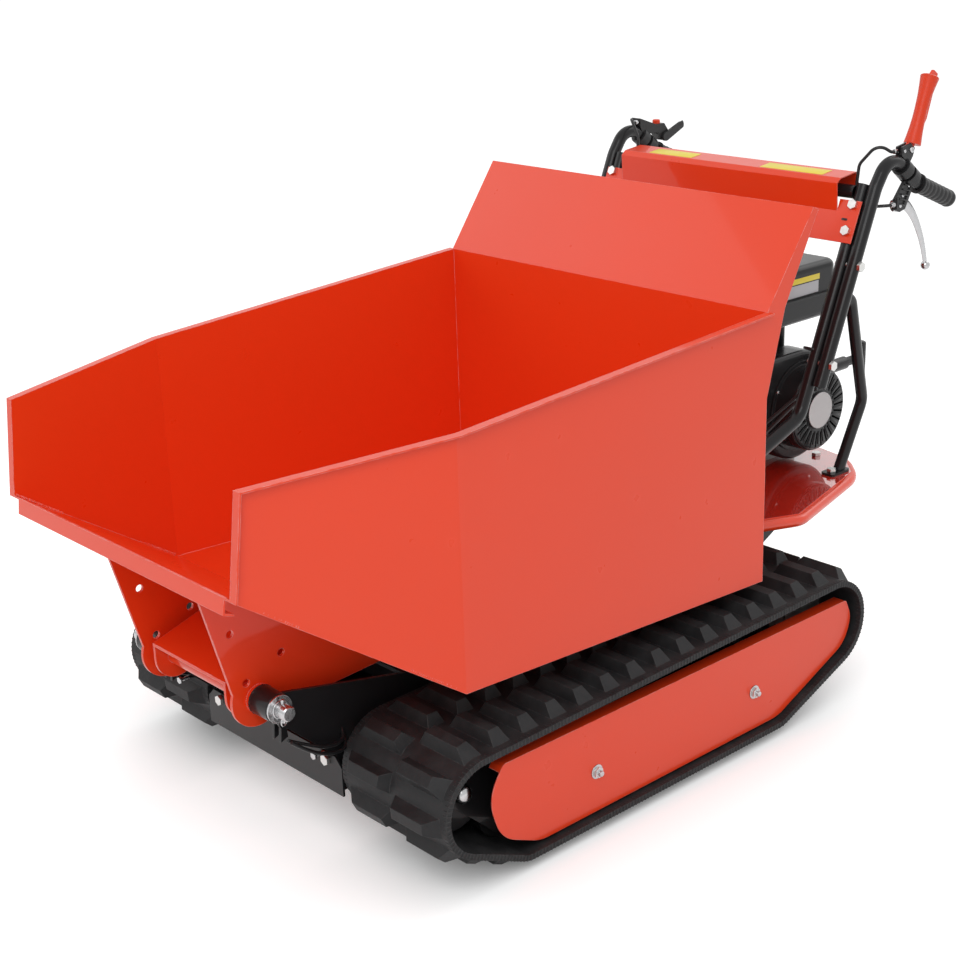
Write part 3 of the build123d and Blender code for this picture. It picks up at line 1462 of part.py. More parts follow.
# Cowling: a panel on the risers' front whose middle runs up into a hood over the cross tube, open at its ends
panel_gap = (tube_radius + seat_gap) * slope_length
panel_points = [(riser_y(z) - panel_gap, z) for z in (cowling_bottom_z, cowling_top_z)]
hood_points = [(riser_y(z) - panel_gap, z) for z in (cowling_bottom_z, hood_from_z)]
hood_points += [(cross_tube_y + dy, cross_tube_z + dz) for dy, dz in hood_offsets]
ear_width = cowling_half_width - hood_half_width
with BuildPart() as cowling:
    for points, start, width in (
        (hood_points, -hood_half_width, 2 * hood_half_width),
        (panel_points, -cowling_half_width, ear_width),
        (panel_points, hood_half_width, ear_width),
    ):
        with BuildSketch(Plane.YZ.offset(start)):
            with BuildLine():
                Polyline(*points)
                offset(amount=cowling_sheet, side=Side.LEFT)
            make_face()
        extrude(amount=width)
    for seat, outward in cowling_bolts:
        bolt_hole(seat, outward, cowling_bolt_length, track_bolt_radius)
save(cowling, "cowling")

# Clamps on the handlebars: brake perches below, clutch and throttle brackets above
front_clamp = (front_clamp_y, bar_z(front_clamp_y))
rear_clamp = (rear_clamp_y, bar_z(rear_clamp_y))


def bar_clamp(side, place):
    """A round clamp body about the handlebar, still without its bore."""
    centre = Vector(side * handlebar_x, *place)
    half = Vector(*bar_heading) * (clamp_length / 2)
    rod(tuple(centre - half), tuple(centre + half), clamp_radius)


def clamp_bore(side, place):
    centre = Vector(side * handlebar_x, *place)
    reach = Vector(*bar_heading) * (2 * clamp_length)
    rod(tuple(centre - reach), tuple(centre + reach), tube_radius + running_gap, mode=Mode.SUBTRACT)


def pin_bore(x, length, place, radius):
    cross_disc(x, length, *place, radius + running_gap, mode=Mode.SUBTRACT)


def outline_at(place, offsets):
    """Outline points given as offsets from a place in Y and Z."""
    return [(place[0] + dy, place[1] + dz) for dy, dz in offsets]


brake_pivot = (brake_pivot_y, brake_pivot_z)
clutch_pivot = (clutch_pivot_y, clutch_pivot_z)
throttle_pivot = (throttle_pivot_y, throttle_pivot_z)

with BuildPart() as brake_perches:
    for side in SIDES.values():
        bar_clamp(side, rear_clamp)
        perch_x = side * handlebar_x - lever_sheet / 2
        perch = ((-15.0, -6.0), (-15.0, 14.0), (17.0, 50.0), (45.0, 40.0), (17.0, -8.0), (0.0, -12.0))
        side_plate(perch_x, lever_sheet, outline_at(brake_pivot, perch))
        clamp_bore(side, rear_clamp)
        pin_bore(perch_x, lever_sheet, brake_pivot, brake_pin_radius)
save(brake_perches, "brake_perches")

for name, side in SIDES.items():
    with BuildPart() as brake_lever:
        lever_x = side * (handlebar_x - lever_sheet / 2 - seat_gap)
        lever_start = min(lever_x, lever_x - side * brake_lever_width)
        blade_top = ((-9.0, 7.0), (5.0, 13.0), (61.0, -34.0), (112.0, -124.0))
        blade = blade_top + ((98.0, -132.0), (45.0, -54.0), (-3.0, -12.0))
        side_plate(lever_start, brake_lever_width, outline_at(brake_pivot, blade))
        cross_disc(lever_start, brake_lever_width, *brake_pivot, 12.0)
        ball = (lever_start + brake_lever_width / 2, brake_pivot_y + 107.0, brake_pivot_z - 131.0)
        with Locations(ball):
            Sphere(brake_ball_radius)
        pin_from = lever_x - side * brake_lever_width
        pin_reach = brake_lever_width + lever_sheet + seat_gap + 1.0
        cross_disc(min(pin_from, pin_from + side * pin_reach), pin_reach, *brake_pivot, brake_pin_radius)
    save(brake_lever, f"brake_lever_{name}")

# Clutch bracket on the right, throttle and stop switch bracket on the left
with BuildPart() as control_brackets:
    bar_clamp(1, front_clamp)
    ear_gap = lever_sheet / 2 + seat_gap
    ear = ((-28.0, -8.0), (-28.0, 8.0), (-2.0, 12.0), (11.0, 2.0), (6.0, -12.0), (-8.0, -30.0))
    for start in (handlebar_x - ear_gap - ear_sheet, handlebar_x + ear_gap):
        side_plate(start, ear_sheet, outline_at(clutch_pivot, ear))
    clamp_bore(1, front_clamp)
    pin_bore(handlebar_x - ear_gap - ear_sheet, 2 * (ear_gap + ear_sheet), clutch_pivot, brake_pin_radius)
    bar_clamp(-1, front_clamp)
    side_plate(
        -handlebar_x - throttle_arm_width / 2,
        throttle_arm_width,
        (
            (clutch_pivot_y - 28.0, clutch_pivot_z - 8.0),
            (clutch_pivot_y - 28.0, clutch_pivot_z + 8.0),
            (switch_y - 12.0, switch_top_z),
            (switch_y + 12.0, switch_top_z),
            (throttle_pivot_y + 14.0, throttle_pivot_z + 10.0),
            (throttle_pivot_y + 14.0, throttle_pivot_z - 6.0),
            (throttle_pivot_y - 6.0, throttle_pivot_z - 7.0),
            (throttle_pivot_y - 18.0, throttle_pivot_z + 11.0),
            (front_clamp_y - 8.0, throttle_pivot_z + 11.0),
        ),
    )
    clamp_bore(-1, front_clamp)
    pin_bore(-handlebar_x - throttle_arm_width / 2, throttle_arm_width, throttle_pivot, brake_pin_radius)
    pocket_start = (-handlebar_x, switch_y, switch_z)
    pocket_end = (-handlebar_x, switch_y, switch_top_z + 1.0)
    rod(pocket_start, pocket_end, switch_radius + seat_gap, mode=Mode.SUBTRACT)
save(control_brackets, "control_brackets")

with BuildPart() as clutch_lever:
    blade = ((-8.0, 4.0), (29.0, 60.0), (57.0, 128.0), (66.0, 136.0), (78.0, 128.0), (50.0, 50.0), (7.0, -6.0))
    side_plate(handlebar_x - lever_sheet / 2, lever_sheet, outline_at(clutch_pivot, blade))
    cross_disc(handlebar_x - lever_sheet / 2, lever_sheet, *clutch_pivot, 9.5)
    pin_reach = ear_gap + ear_sheet + 1.5
    cross_disc(handlebar_x - pin_reach, 2 * pin_reach, *clutch_pivot, brake_pin_radius)
    foot, top = outline_at(clutch_pivot, clutch_handle)
    rod((handlebar_x, *foot), (handlebar_x, *top), clutch_handle_radius)
save(clutch_lever, "clutch_lever")

with BuildPart() as throttle_lever:
    arm_face_x = -handlebar_x + throttle_arm_width / 2
    blade = ((-7.0, 6.0), (46.0, 26.0), (54.0, 24.0), (54.0, 14.0), (5.0, -8.0))
    side_plate(arm_face_x + seat_gap, lever_sheet, outline_at(throttle_pivot, blade))
    cross_disc(arm_face_x + seat_gap, lever_sheet, *throttle_pivot, 9.0)
    pin_from = arm_face_x - throttle_arm_width - 1.0
    cross_disc(pin_from, throttle_arm_width + lever_sheet, *throttle_pivot, brake_pin_radius)
save(throttle_lever, "throttle_lever")

with BuildPart() as stop_switch:
    button_foot = (-handlebar_x, switch_y, switch_z + switch_travel + 1.0)
    rod(button_foot, (-handlebar_x, switch_y, switch_top_z + button_height), switch_radius)
    fillet(stop_switch.faces().sort_by(Axis.Z)[-1].edges(), radius=2.5)
save(stop_switch, "stop_switch")

# Control cables: from each clamp down behind the riser and through the deck to the gearbox
with BuildPart() as control_cables:
    for side in SIDES.values():
        upper_x = side * (handlebar_x - ear_gap - ear_sheet / 2)
        upper_start = (upper_x, clutch_pivot_y - 28.0 - seat_gap, clutch_pivot_z)
        lower_start = (side * handlebar_x, brake_pivot_y - 15.0 - seat_gap, brake_pivot_z + 4.0)
        upper_route = [
            upper_start,
            (upper_x, clutch_pivot_y - 44.0, clutch_pivot_z),
            (side * 306.0, 622.0, clutch_pivot_z + 17.0),
            (side * (cable_x[0] + 1.0), cross_tube_y + tube_radius + 12.0, clutch_pivot_z - 22.0),
            (side * cable_x[0], riser_y(850.0) + cable_back, 850.0),
            (side * cable_x[0], riser_y(560.0) + cable_back, 560.0),
            (side * 192.0, 376.0, 450.0),
            (side * cable_hole_x, cable_hole_y[0], 410.0),
            (side * cable_hole_x, cable_hole_y[0], gearbox_top_z + seat_gap),
        ]
        lower_route = [
            lower_start,
            (side * handlebar_x, brake_pivot_y - 28.0, brake_pivot_z + 4.0),
            (side * 301.0, 620.0, 882.0),
            (side * cable_x[1], riser_y(840.0) + cable_back, 840.0),
            (side * cable_x[1], riser_y(560.0) + cable_back, 560.0),
            (side * 206.0, 376.0, 438.0),
            (side * cable_hole_x, cable_hole_y[1], 400.0),
            (side * cable_hole_x, cable_hole_y[1], gearbox_top_z + seat_gap),
        ]
        tube(upper_route, [12.0, 20.0, 20.0, 60.0, 70.0, 60.0, 60.0], cable_radius, 0.0)
        tube(lower_route, [12.0, 14.0, 24.0, 70.0, 60.0, 60.0], cable_radius, 0.0)
save(control_cables, "control_cables")

# Every bolt of the frame, tracks, deck and handles
with BuildPart() as bolts:
    for seat, outward in guard_bolts:
        hex_bolt(seat, outward, guard_bolt_length, frame_bolt_radius)
    for seat, outward in deck_bolts + engine_bolts + foot_bolts:
        hex_bolt(seat, outward, deck_bolt_length, frame_bolt_radius)
    for seat, outward in beam_bolts:
        hex_bolt(seat, outward, beam_bolt_length, track_bolt_radius)
    for seat, outward in bar_bolts:
        hex_bolt(seat, outward, bar_bolt_length, track_bolt_radius)
    for seat, outward in cowling_bolts:
        hex_bolt(seat, outward, cowling_bolt_length, track_bolt_radius)
    for side in SIDES.values():
        for y in cover_bolt_y:
            hex_bolt((side * cover_x, y, cover_bolt_z), (side, 0, 0), cover_bolt_length, track_bolt_radius)
save(bolts, "bolts")
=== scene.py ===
import json
import math

import bmesh
import bpy
from mathutils import Matrix, Vector


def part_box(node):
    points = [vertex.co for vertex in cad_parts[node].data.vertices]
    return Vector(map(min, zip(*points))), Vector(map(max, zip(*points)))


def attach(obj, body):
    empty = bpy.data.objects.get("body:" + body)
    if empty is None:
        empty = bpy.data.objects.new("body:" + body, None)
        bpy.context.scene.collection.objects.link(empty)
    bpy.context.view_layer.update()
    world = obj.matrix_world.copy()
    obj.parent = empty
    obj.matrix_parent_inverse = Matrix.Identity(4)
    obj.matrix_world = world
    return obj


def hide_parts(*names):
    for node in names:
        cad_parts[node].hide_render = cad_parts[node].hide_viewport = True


bl_info = {
    "name": "Tracked power carrier",
    "version": (1, 0, 0),
    "blender": (4, 5, 0),
    "location": "3D View > Sidebar > Carrier",
    "description": "Finishes and fittings for a tracked power carrier",
    "category": "Object",
}

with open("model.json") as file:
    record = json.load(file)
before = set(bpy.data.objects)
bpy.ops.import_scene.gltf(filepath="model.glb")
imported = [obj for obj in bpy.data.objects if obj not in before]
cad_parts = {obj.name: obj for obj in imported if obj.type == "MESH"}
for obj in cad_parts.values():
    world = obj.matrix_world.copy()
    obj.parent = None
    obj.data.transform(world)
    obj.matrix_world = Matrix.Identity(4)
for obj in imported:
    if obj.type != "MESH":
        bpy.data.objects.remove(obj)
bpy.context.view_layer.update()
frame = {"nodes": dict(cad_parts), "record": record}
nodes = frame["nodes"]
node_slot = {row["node"]: row["material_slot"] for row in frame["record"]["subparts"]}

SIDES = {"right": 1, "left": -1}
WHITE = (1.0, 1.0, 1.0, 1.0)

# Places of the solids that fittings sit on, in millimetres
PIVOT = (-685.0, 296.0)
CRANK = (619.0, 471.0)
BAR_X = 325.3
GRIP_ANGLE = math.radians(22.7)
GRIP_END = (830.6, 868.0)
GRIP_LENGTH = 118.0
BRAKE_PIVOT = (667.0, 880.0)
CLUTCH_PIVOT = (688.0, 980.0)
THROTTLE_PIVOT = (734.0, 942.0)
TRACK_X = 316.0
BELT_HALF = 125.0
BELT_CIRCLES = ((-494.0, 150.0, 74.0), (-399.0, 74.0, 45.0), (211.0, 74.0, 45.0), (367.0, 167.0, 75.0))
COVER_BOLTS = ((427.0, -244.0, 107.0), (427.0, 153.0, 107.0))


def mm(*place):
    """Millimetres to metres"""
    return Vector(place) / 1000.0


def riser_y(z):
    return 423.0 + (z - 524.0) * 0.424


# Sizes and colours ---------------------------------------------------------------------------------------------------

def colour(name, description, value):
    return bpy.props.FloatVectorProperty(
        name=name, description=description, subtype="COLOR", size=3, min=0.0, max=1.0, default=value
    )


def length(name, description, value):
    return bpy.props.FloatProperty(name=name, description=description, subtype="DISTANCE", unit="LENGTH", default=value)


class CarrierColours(bpy.types.PropertyGroup):
    red: colour("Red paint", "Paint of the bed, covers and cowling", (0.84, 0.052, 0.009))
    black: colour("Black paint", "Paint of the tubes, chassis and wheels", (0.012, 0.012, 0.013))
    rubber: colour("Track rubber", "Rubber of the belts", (0.017, 0.017, 0.018))
    zinc: colour("Zinc", "Plated steel of bolts, pins and nuts", (0.62, 0.62, 0.6))
    alloy: colour("Alloy", "Cast alloy of the engine", (0.5, 0.5, 0.49))
    deck: colour("Deck", "Lacquered plate of the engine deck", (0.72, 0.03, 0.014))
    label: colour("Label", "Plain yellow patches", (0.87, 0.7, 0.03))


class CarrierSizes(bpy.types.PropertyGroup):
    rib_pitch: length("Rib pitch", "Distance between the fine ribs on a belt's edge", 0.0075)
    weld_pitch: length("Weld pitch", "Distance between the ripples of a weld bead", 0.0036)
    badge_radius: length("Badge radius", "Radius of the disc on the recoil cover", 0.036)
    grip_ribs: bpy.props.IntProperty(name="Grip ribs", description="Ribs round each hand grip", default=7, min=2)


# Shader expressions --------------------------------------------------------------------------------------------------

class Calc:
    """A shader socket that adds Math nodes when it is calculated with"""

    def __init__(self, finish, socket):
        self.finish, self.socket = finish, socket

    def __add__(self, other):
        return self.finish.math("ADD", self, other)

    def __sub__(self, other):
        return self.finish.math("SUBTRACT", self, other)

    def __rsub__(self, other):
        return self.finish.math("SUBTRACT", other, self)

    def __mul__(self, other):
        return self.finish.math("MULTIPLY", self, other)

    def __gt__(self, other):
        return self.finish.math("GREATER_THAN", self, other)

    __radd__ = __add__
    __rmul__ = __mul__


class Finish:
    """A material whose nodes are written as expressions"""

    def __init__(self, name, base, **values):
        self.material = bpy.data.materials.new(name)
        self.material.use_nodes = True
        self.tree = self.material.node_tree
        self.shader = self.tree.nodes["Principled BSDF"]
        self.material.diffuse_color = (*base, 1.0)
        self.set("Base Color", (*base, 1.0))
        for socket, value in values.items():
            self.set(socket.replace("_", " "), value)
        self.place = self.node("ShaderNodeTexCoord", output="Object")

    def set(self, socket, value):
        self.feed(self.shader.inputs[socket], value)

    def feed(self, socket, value):
        if isinstance(value, Calc):
            self.tree.links.new(value.socket, socket)
        else:
            socket.default_value = value

    def node(self, kind, settings=None, sockets=None, output=0):
        """Adds a node, its settings first, then the values or links of its sockets"""
        made = self.tree.nodes.new(kind)
        for setting, value in (settings or {}).items():
            if setting == "stops":
                for stop, (position, shade) in zip(made.color_ramp.elements, value):
                    stop.position, stop.color = position, shade
            else:
                setattr(made, setting, value)
        for socket, value in (sockets or {}).items():
            self.feed(made.inputs[socket], value)
        return Calc(self, made.outputs[output])

    def math(self, operation, *values):
        return self.node("ShaderNodeMath", {"operation": operation}, dict(enumerate(values)))

    def axis(self, letter):
        return self.node("ShaderNodeSeparateXYZ", None, {"Vector": self.place}, letter)

    def stretched(self, scale):
        return self.node("ShaderNodeMapping", None, {"Vector": self.place, "Scale": scale})

    def noise(self, scale, detail=2.0, place=None, rough=0.5):
        sockets = {"Vector": place or self.place, "Scale": scale, "Detail": detail, "Roughness": rough}
        return self.node("ShaderNodeTexNoise", None, sockets)

    def between(self, value, low, high):
        """0 below low, 1 above high"""
        return self.node("ShaderNodeMapRange", None, {"Value": value, "From Min": low, "From Max": high})

    def mix(self, factor, first, second):
        first = first if isinstance(first, Calc) else (*first, 1.0)
        second = second if isinstance(second, Calc) else (*second, 1.0)
        return self.node("ShaderNodeMix", {"data_type": "RGBA"}, {0: factor, 6: first, 7: second}, 2)

    def round_edges(self, radius):
        return self.node("ShaderNodeBevel", {"samples": 6}, {"Radius": radius})

    def edges(self, radius):
        """1 along sharp edges, 0 on the flat"""
        plain = self.node("ShaderNodeNewGeometry", output="Normal")
        rounded = self.round_edges(radius)
        both = {0: rounded, 1: plain}
        alike = self.node("ShaderNodeVectorMath", {"operation": "DOT_PRODUCT"}, both, "Value")
        return self.between(1.0 - alike, 0.01, 0.12)

    def bump(self, height, depth, edge_radius=0.0, strength=1.0):
        sockets = {"Height": height, "Distance": depth, "Strength": strength}
        if edge_radius:
            sockets["Normal"] = self.round_edges(edge_radius)
        self.set("Normal", self.node("ShaderNodeBump", None, sockets))


def lighter(base, share):
    return tuple(part + (1.0 - part) * share for part in base)


def darker(base, share):
    return tuple(part * (1.0 - share) for part in base)


def gloss_paint(name, base, roughness=0.24, peel=0.00002, edge_radius=0.0016):
    """Sprayed paint with orange peel, faint clouding and thin, lighter edges that are partly edge wear and partly a
    painted highlight along the sheet edges
    """
    paint = Finish(name, base, Coat_Weight=0.4, Coat_Roughness=0.05, Coat_IOR=1.45, Specular_IOR_Level=0.25)
    clouds = paint.between(paint.noise(2.2, 2.0), 0.3, 0.75)
    # Painted highlight: the base colour turns paler in patches along sharp edges, partly edge wear, partly standing in
    # for the light caught by the rolled sheet edges
    pale_edges = paint.edges(edge_radius) * paint.between(paint.noise(60.0, 2.0), 0.3, 0.6)
    tone = paint.mix(clouds * 0.12, base, darker(base, 0.2))
    paint.set("Base Color", paint.mix(pale_edges * 0.7, tone, lighter(base, 0.5)))
    paint.set("Roughness", paint.noise(24.0, 3.0) * 0.12 + roughness)
    paint.bump(paint.noise(420.0, 1.0), peel, edge_radius)
    return paint


def dark_paint(name, base, roughness=0.24):
    paint = Finish(name, base, Coat_Weight=0.25, Coat_Roughness=0.06, Specular_IOR_Level=0.15)
    pale_edges = paint.edges(0.0012) * paint.between(paint.noise(90.0, 2.0), 0.35, 0.65)
    paint.set("Base Color", paint.mix(pale_edges * 0.3, base, lighter(base, 0.12)))
    paint.set("Roughness", paint.noise(30.0, 3.0) * 0.14 + roughness)
    paint.bump(paint.noise(520.0, 1.0), 0.00005, 0.0012)
    return paint


def track_rubber(name, base):
    """Moulded rubber with a fine grain, mould flow streaks and paler edges that are partly scuffs and partly a painted
    highlight where the lug edges catch the light
    """
    rubber = Finish(name, base, Specular_IOR_Level=0.22)
    grain = rubber.noise(900.0, 3.0)
    patches = rubber.between(rubber.noise(26.0, 4.0, rough=0.6), 0.4, 0.68)
    # Painted highlight: the base colour turns paler in patches along sharp edges, partly scuffing, partly standing in
    # for the light on the lug edges
    scuff_and_sheen = rubber.edges(0.0022) * rubber.between(rubber.noise(160.0, 3.0), 0.35, 0.6)
    tone = rubber.mix(patches * 0.5, base, lighter(base, 0.025))
    rubber.set("Base Color", rubber.mix(scuff_and_sheen * 0.6, tone, lighter(base, 0.07)))
    rubber.set("Roughness", patches * 0.16 + grain * 0.1 + 0.42)
    rubber.bump(grain * 0.35 + rubber.noise(120.0, 3.0), 0.0004, 0.0022)
    return rubber


def soft_rubber(name, base):
    rubber = Finish(name, base, Specular_IOR_Level=0.4)
    rubber.set("Roughness", rubber.noise(80.0, 3.0) * 0.2 + 0.38)
    rubber.bump(rubber.noise(1500.0, 2.0), 0.00012, 0.001)
    return rubber


def plated_steel(name, base, roughness=0.24):
    """Zinc plate with faint spangle, fine scratches and a slightly milky tone"""
    steel = Finish(name, base, Metallic=1.0)
    spangle = steel.noise(140.0, 4.0)
    scratches = steel.noise(60.0, 2.0, steel.stretched((1.0, 18.0, 18.0)))
    steel.set("Base Color", steel.mix(spangle * 0.5, lighter(base, 0.25), darker(base, 0.2)))
    steel.set("Roughness", spangle * 0.14 + scratches * 0.1 + roughness)
    steel.bump(scratches * 0.5 + spangle, 0.00006, 0.0008)
    return steel


def cast_alloy(name, base):
    alloy = Finish(name, base, Metallic=0.85)
    grain = alloy.noise(420.0, 4.0)
    alloy.set("Base Color", alloy.mix(alloy.noise(18.0, 3.0), base, darker(base, 0.35)))
    alloy.set("Roughness", grain * 0.2 + 0.34)
    alloy.bump(grain, 0.00035, 0.0014)
    return alloy


def moulding(name, base, roughness=0.3, grain_depth=0.00012):
    """Moulded plastic with a fine, even grain"""
    plastic = Finish(name, base, Specular_IOR_Level=0.3)
    tone = plastic.between(plastic.noise(12.0, 2.0), 0.3, 0.7)
    plastic.set("Base Color", plastic.mix(tone * 0.3, base, lighter(base, 0.05)))
    plastic.set("Roughness", plastic.noise(50.0, 3.0) * 0.12 + roughness)
    plastic.bump(plastic.noise(1300.0, 2.0), grain_depth, 0.0014)
    return plastic


def deck_finish(name, base, red):
    """Mirror-like lacquer on the plate, plain paint on its rail and underside"""
    deck = Finish(name, base, Coat_Roughness=0.02, Coat_IOR=4.0)
    top = deck.axis("Z") > 0.3513
    smear = deck.noise(9.0, 4.0)
    plate = deck.mix(smear * 0.4, base, darker(base, 0.2))
    deck.set("Base Color", deck.mix(top, red, plate))
    deck.set("Coat Weight", top * 0.93 + 0.07)
    deck.set("Roughness", smear * 0.1 + 0.2)
    deck.bump(deck.noise(300.0, 2.0), 0.00001, 0.001)
    return deck


def patch(name, base):
    """Printed film of a plain patch"""
    film = Finish(name, base, Specular_IOR_Level=0.5)
    film.set("Base Color", film.mix(film.noise(70.0, 2.0) * 0.25, base, darker(base, 0.2)))
    film.set("Roughness", film.noise(110.0, 2.0) * 0.15 + 0.28)
    film.bump(film.noise(600.0, 2.0), 0.00003, 0.0004)
    return film


finishes = {}


def mix_finishes(context):
    tint = context.scene.carrier_colours
    red, black = tuple(tint.red), tuple(tint.black)
    made = {
        "red_paint": gloss_paint("RedPaint", red),
        "black_paint": dark_paint("BlackPaint", black),
        "track_rubber": track_rubber("TrackRubber", tuple(tint.rubber)),
        "grip_rubber": soft_rubber("GripRubber", (0.014, 0.014, 0.015)),
        "zinc_steel": plated_steel("ZincSteel", tuple(tint.zinc)),
        "cast_alloy": cast_alloy("CastAlloy", tuple(tint.alloy)),
        "engine_black": moulding("EngineBlack", (0.011, 0.011, 0.012), 0.16, 0.00005),
        "deck_plate": deck_finish("DeckPlate", tuple(tint.deck), red),
        "black_plastic": moulding("BlackPlastic", (0.014, 0.014, 0.015)),
        "red_plastic": moulding("RedPlastic", darker(red, 0.12), 0.3, 0.0001),
        "cable_sleeve": moulding("CableSleeve", (0.012, 0.012, 0.013), 0.28, 0.00005),
        "polished_steel": plated_steel("PolishedSteel", (0.4, 0.4, 0.41), 0.12),
        "badge_silver": patch("BadgeSilver", (0.68, 0.67, 0.67)),
        "yellow_patch": patch("YellowPatch", tuple(tint.label)),
        "grey_patch": patch("GreyPatch", (0.5, 0.5, 0.52)),
    }
    finishes.update({name: finish.material for name, finish in made.items()})


# Mesh helpers --------------------------------------------------------------------------------------------------------

def aimed(place, heading):
    """Matrix that puts local Z along a heading, at a place in millimetres"""
    turn = Vector(heading).to_track_quat("Z", "Y").to_matrix().to_4x4()
    return Matrix.Translation(mm(*place)) @ turn


def piece(name, bm, finish, body="chassis", crease=35.0):
    """Turns a bmesh into a piece that rides on a body"""
    bmesh.ops.remove_doubles(bm, verts=bm.verts, dist=1e-6)
    bmesh.ops.recalc_face_normals(bm, faces=bm.faces)
    mesh = bpy.data.meshes.new(name)
    bm.to_mesh(mesh)
    bm.free()
    mesh.shade_smooth()
    mesh.set_sharp_from_angle(angle=math.radians(crease))
    mesh.materials.append(finishes[finish])
    made = bpy.data.objects.new(name, mesh)
    bpy.context.scene.collection.objects.link(made)
    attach(made, body)
    return made


def stamp(bm, mesh, matrix=None):
    """Adds a copy of a finished mesh at a place"""
    copy = mesh.copy()
    if matrix is not None:
        copy.transform(matrix)
    bm.from_mesh(copy)
    bpy.data.meshes.remove(copy)


def kept(bm):
    """A scrap mesh to stamp from"""
    mesh = bpy.data.meshes.new("scrap")
    bm.to_mesh(mesh)
    bm.free()
    return mesh


def drum(bm, place, heading, radius, depth, rim=0.0, sides=32, tip=None):
    """A round disc, shaft or cone from a place along a heading, its rims rounded"""
    local = bmesh.new()
    half = depth / 2000.0
    tip = radius if tip is None else tip
    bmesh.ops.create_cone(
        local, cap_ends=True, segments=sides, radius1=radius / 1000.0, radius2=tip / 1000.0, depth=2 * half,
        matrix=Matrix.Translation((0.0, 0.0, half)),
    )
    if rim:
        ends = [edge for edge in local.edges if abs(edge.verts[0].co.z - edge.verts[1].co.z) < 1e-7]
        bmesh.ops.bevel(local, geom=ends, offset=rim / 1000.0, affect="EDGES", segments=3, profile=0.5, material=-1)
    mesh = kept(local)
    stamp(bm, mesh, aimed(place, heading))
    bpy.data.meshes.remove(mesh)


def block(bm, place, size, rim=0.0, turn=None):
    """A box with rounded edges; turn is a rotation matrix"""
    local = bmesh.new()
    bmesh.ops.create_cube(local, size=1.0, matrix=Matrix.Diagonal((*mm(*size), 1.0)))
    if rim:
        bmesh.ops.bevel(
            local, geom=local.edges[:], offset=rim / 1000.0, affect="EDGES", segments=3, profile=0.5, material=-1
        )
    mesh = kept(local)
    stamp(bm, mesh, Matrix.Translation(mm(*place)) @ (turn or Matrix.Identity(4)))
    bpy.data.meshes.remove(mesh)


def ball(bm, place, radius, stretch=(1.0, 1.0, 1.0), turn=None, rings=12):
    matrix = Matrix.Translation(mm(*place)) @ (turn or Matrix.Identity(4)) @ Matrix.Diagonal((*stretch, 1.0))
    bmesh.ops.create_uvsphere(bm, u_segments=2 * rings, v_segments=rings, radius=radius / 1000.0, matrix=matrix)


def lathe(bm, place, heading, profile, steps=40):
    """Turns (radius, height) points about a heading"""
    local = bmesh.new()
    line = [local.verts.new((radius / 1000.0, 0.0, height / 1000.0)) for radius, height in profile]
    edges = [local.edges.new(pair) for pair in zip(line, line[1:])]
    bmesh.ops.spin(
        local, geom=line + edges, cent=(0, 0, 0), axis=(0, 0, 1), angle=math.tau, steps=steps, use_merge=True
    )
    bmesh.ops.remove_doubles(local, verts=local.verts, dist=1e-6)
    mesh = kept(local)
    stamp(bm, mesh, aimed(place, heading))
    bpy.data.meshes.remove(mesh)


def ring(bm, place, heading, radius, wire):
    """A round wire ring"""
    profile = [(radius + wire * math.cos(turn), wire * math.sin(turn)) for turn in
               (math.tau * step / 10 for step in range(11))]
    lathe(bm, place, heading, profile, 36)


def bent(bm, points, radius, widths=None, flat=None, order=3):
    """A bar along a smooth line; widths scale it at each point, flat is (x factor, x centre)"""
    curve = bpy.data.curves.new("scrap", "CURVE")
    curve.dimensions = "3D"
    curve.bevel_depth = radius / 1000.0
    curve.bevel_resolution = 4
    curve.resolution_u = 10
    curve.use_fill_caps = True
    line = curve.splines.new("NURBS")
    line.points.add(len(points) - 1)
    for point, place, width in zip(line.points, points, widths or [1.0] * len(points)):
        point.co = (*mm(*place), 1.0)
        point.radius = width
    line.order_u = order
    line.use_endpoint_u = True
    holder = bpy.data.objects.new("scrap", curve)
    mesh = bpy.data.meshes.new_from_object(holder)
    if flat:
        factor, centre = flat
        centre = centre / 1000.0
        squeeze = Matrix.Translation((centre, 0, 0)) @ Matrix.Diagonal((factor, 1, 1, 1))
        mesh.transform(squeeze @ Matrix.Translation((-centre, 0, 0)))
    stamp(bm, mesh)
    bpy.data.objects.remove(holder)
    bpy.data.curves.remove(curve)
    bpy.data.meshes.remove(mesh)


def weld(bm, start, end, radius, pitch):
    """A rippled bead between two points"""
    start, end = Vector(start), Vector(end)
    heading = end - start
    turn = heading.to_track_quat("Z", "Y").to_matrix().to_4x4()
    count = max(2, int(heading.length / pitch))
    for step in range(count + 1):
        ripple = 1.0 + 0.14 * math.sin(2.4 * step) + 0.08 * math.sin(5.1 * step)
        ball(bm, start + heading * (step / count), radius * ripple, (1.0, 1.0, 0.62), turn, 5)


def screw(bm, place, heading, radius, height):
    """A pan head with a cross recess"""
    lathe(bm, place, heading, [(0.0, 0.0), (radius, 0.0), (radius, 0.35 * height), (0.86 * radius, 0.78 * height),
                               (0.5 * radius, height), (0.0, height)], 20)
    for spin in (0.0, math.pi / 2):
        turn = Vector(heading).to_track_quat("Z", "Y").to_matrix().to_4x4() @ Matrix.Rotation(spin, 4, "Z")
        block(bm, Vector(place) + Vector(heading) * height, (1.1 * radius, 0.28 * radius, 0.5), 0.0, turn)


# Pieces --------------------------------------------------------------------------------------------------------------

class CARRIER_OT_finishes(bpy.types.Operator):
    """Mixes the finishes and gives every solid the finish of its slot"""
    bl_idname = "carrier.finishes"
    bl_label = "Finishes"

    def execute(self, context):
        mix_finishes(context)
        for name, solid in nodes.items():
            solid.data.materials.clear()
            solid.data.materials.append(finishes[node_slot[name]])
        for name in ("brake_lever_right", "brake_lever_left", "pin_hardware", "pivot_pin"):
            nodes[name].data.materials[0] = finishes["polished_steel"]
        return {"FINISHED"}


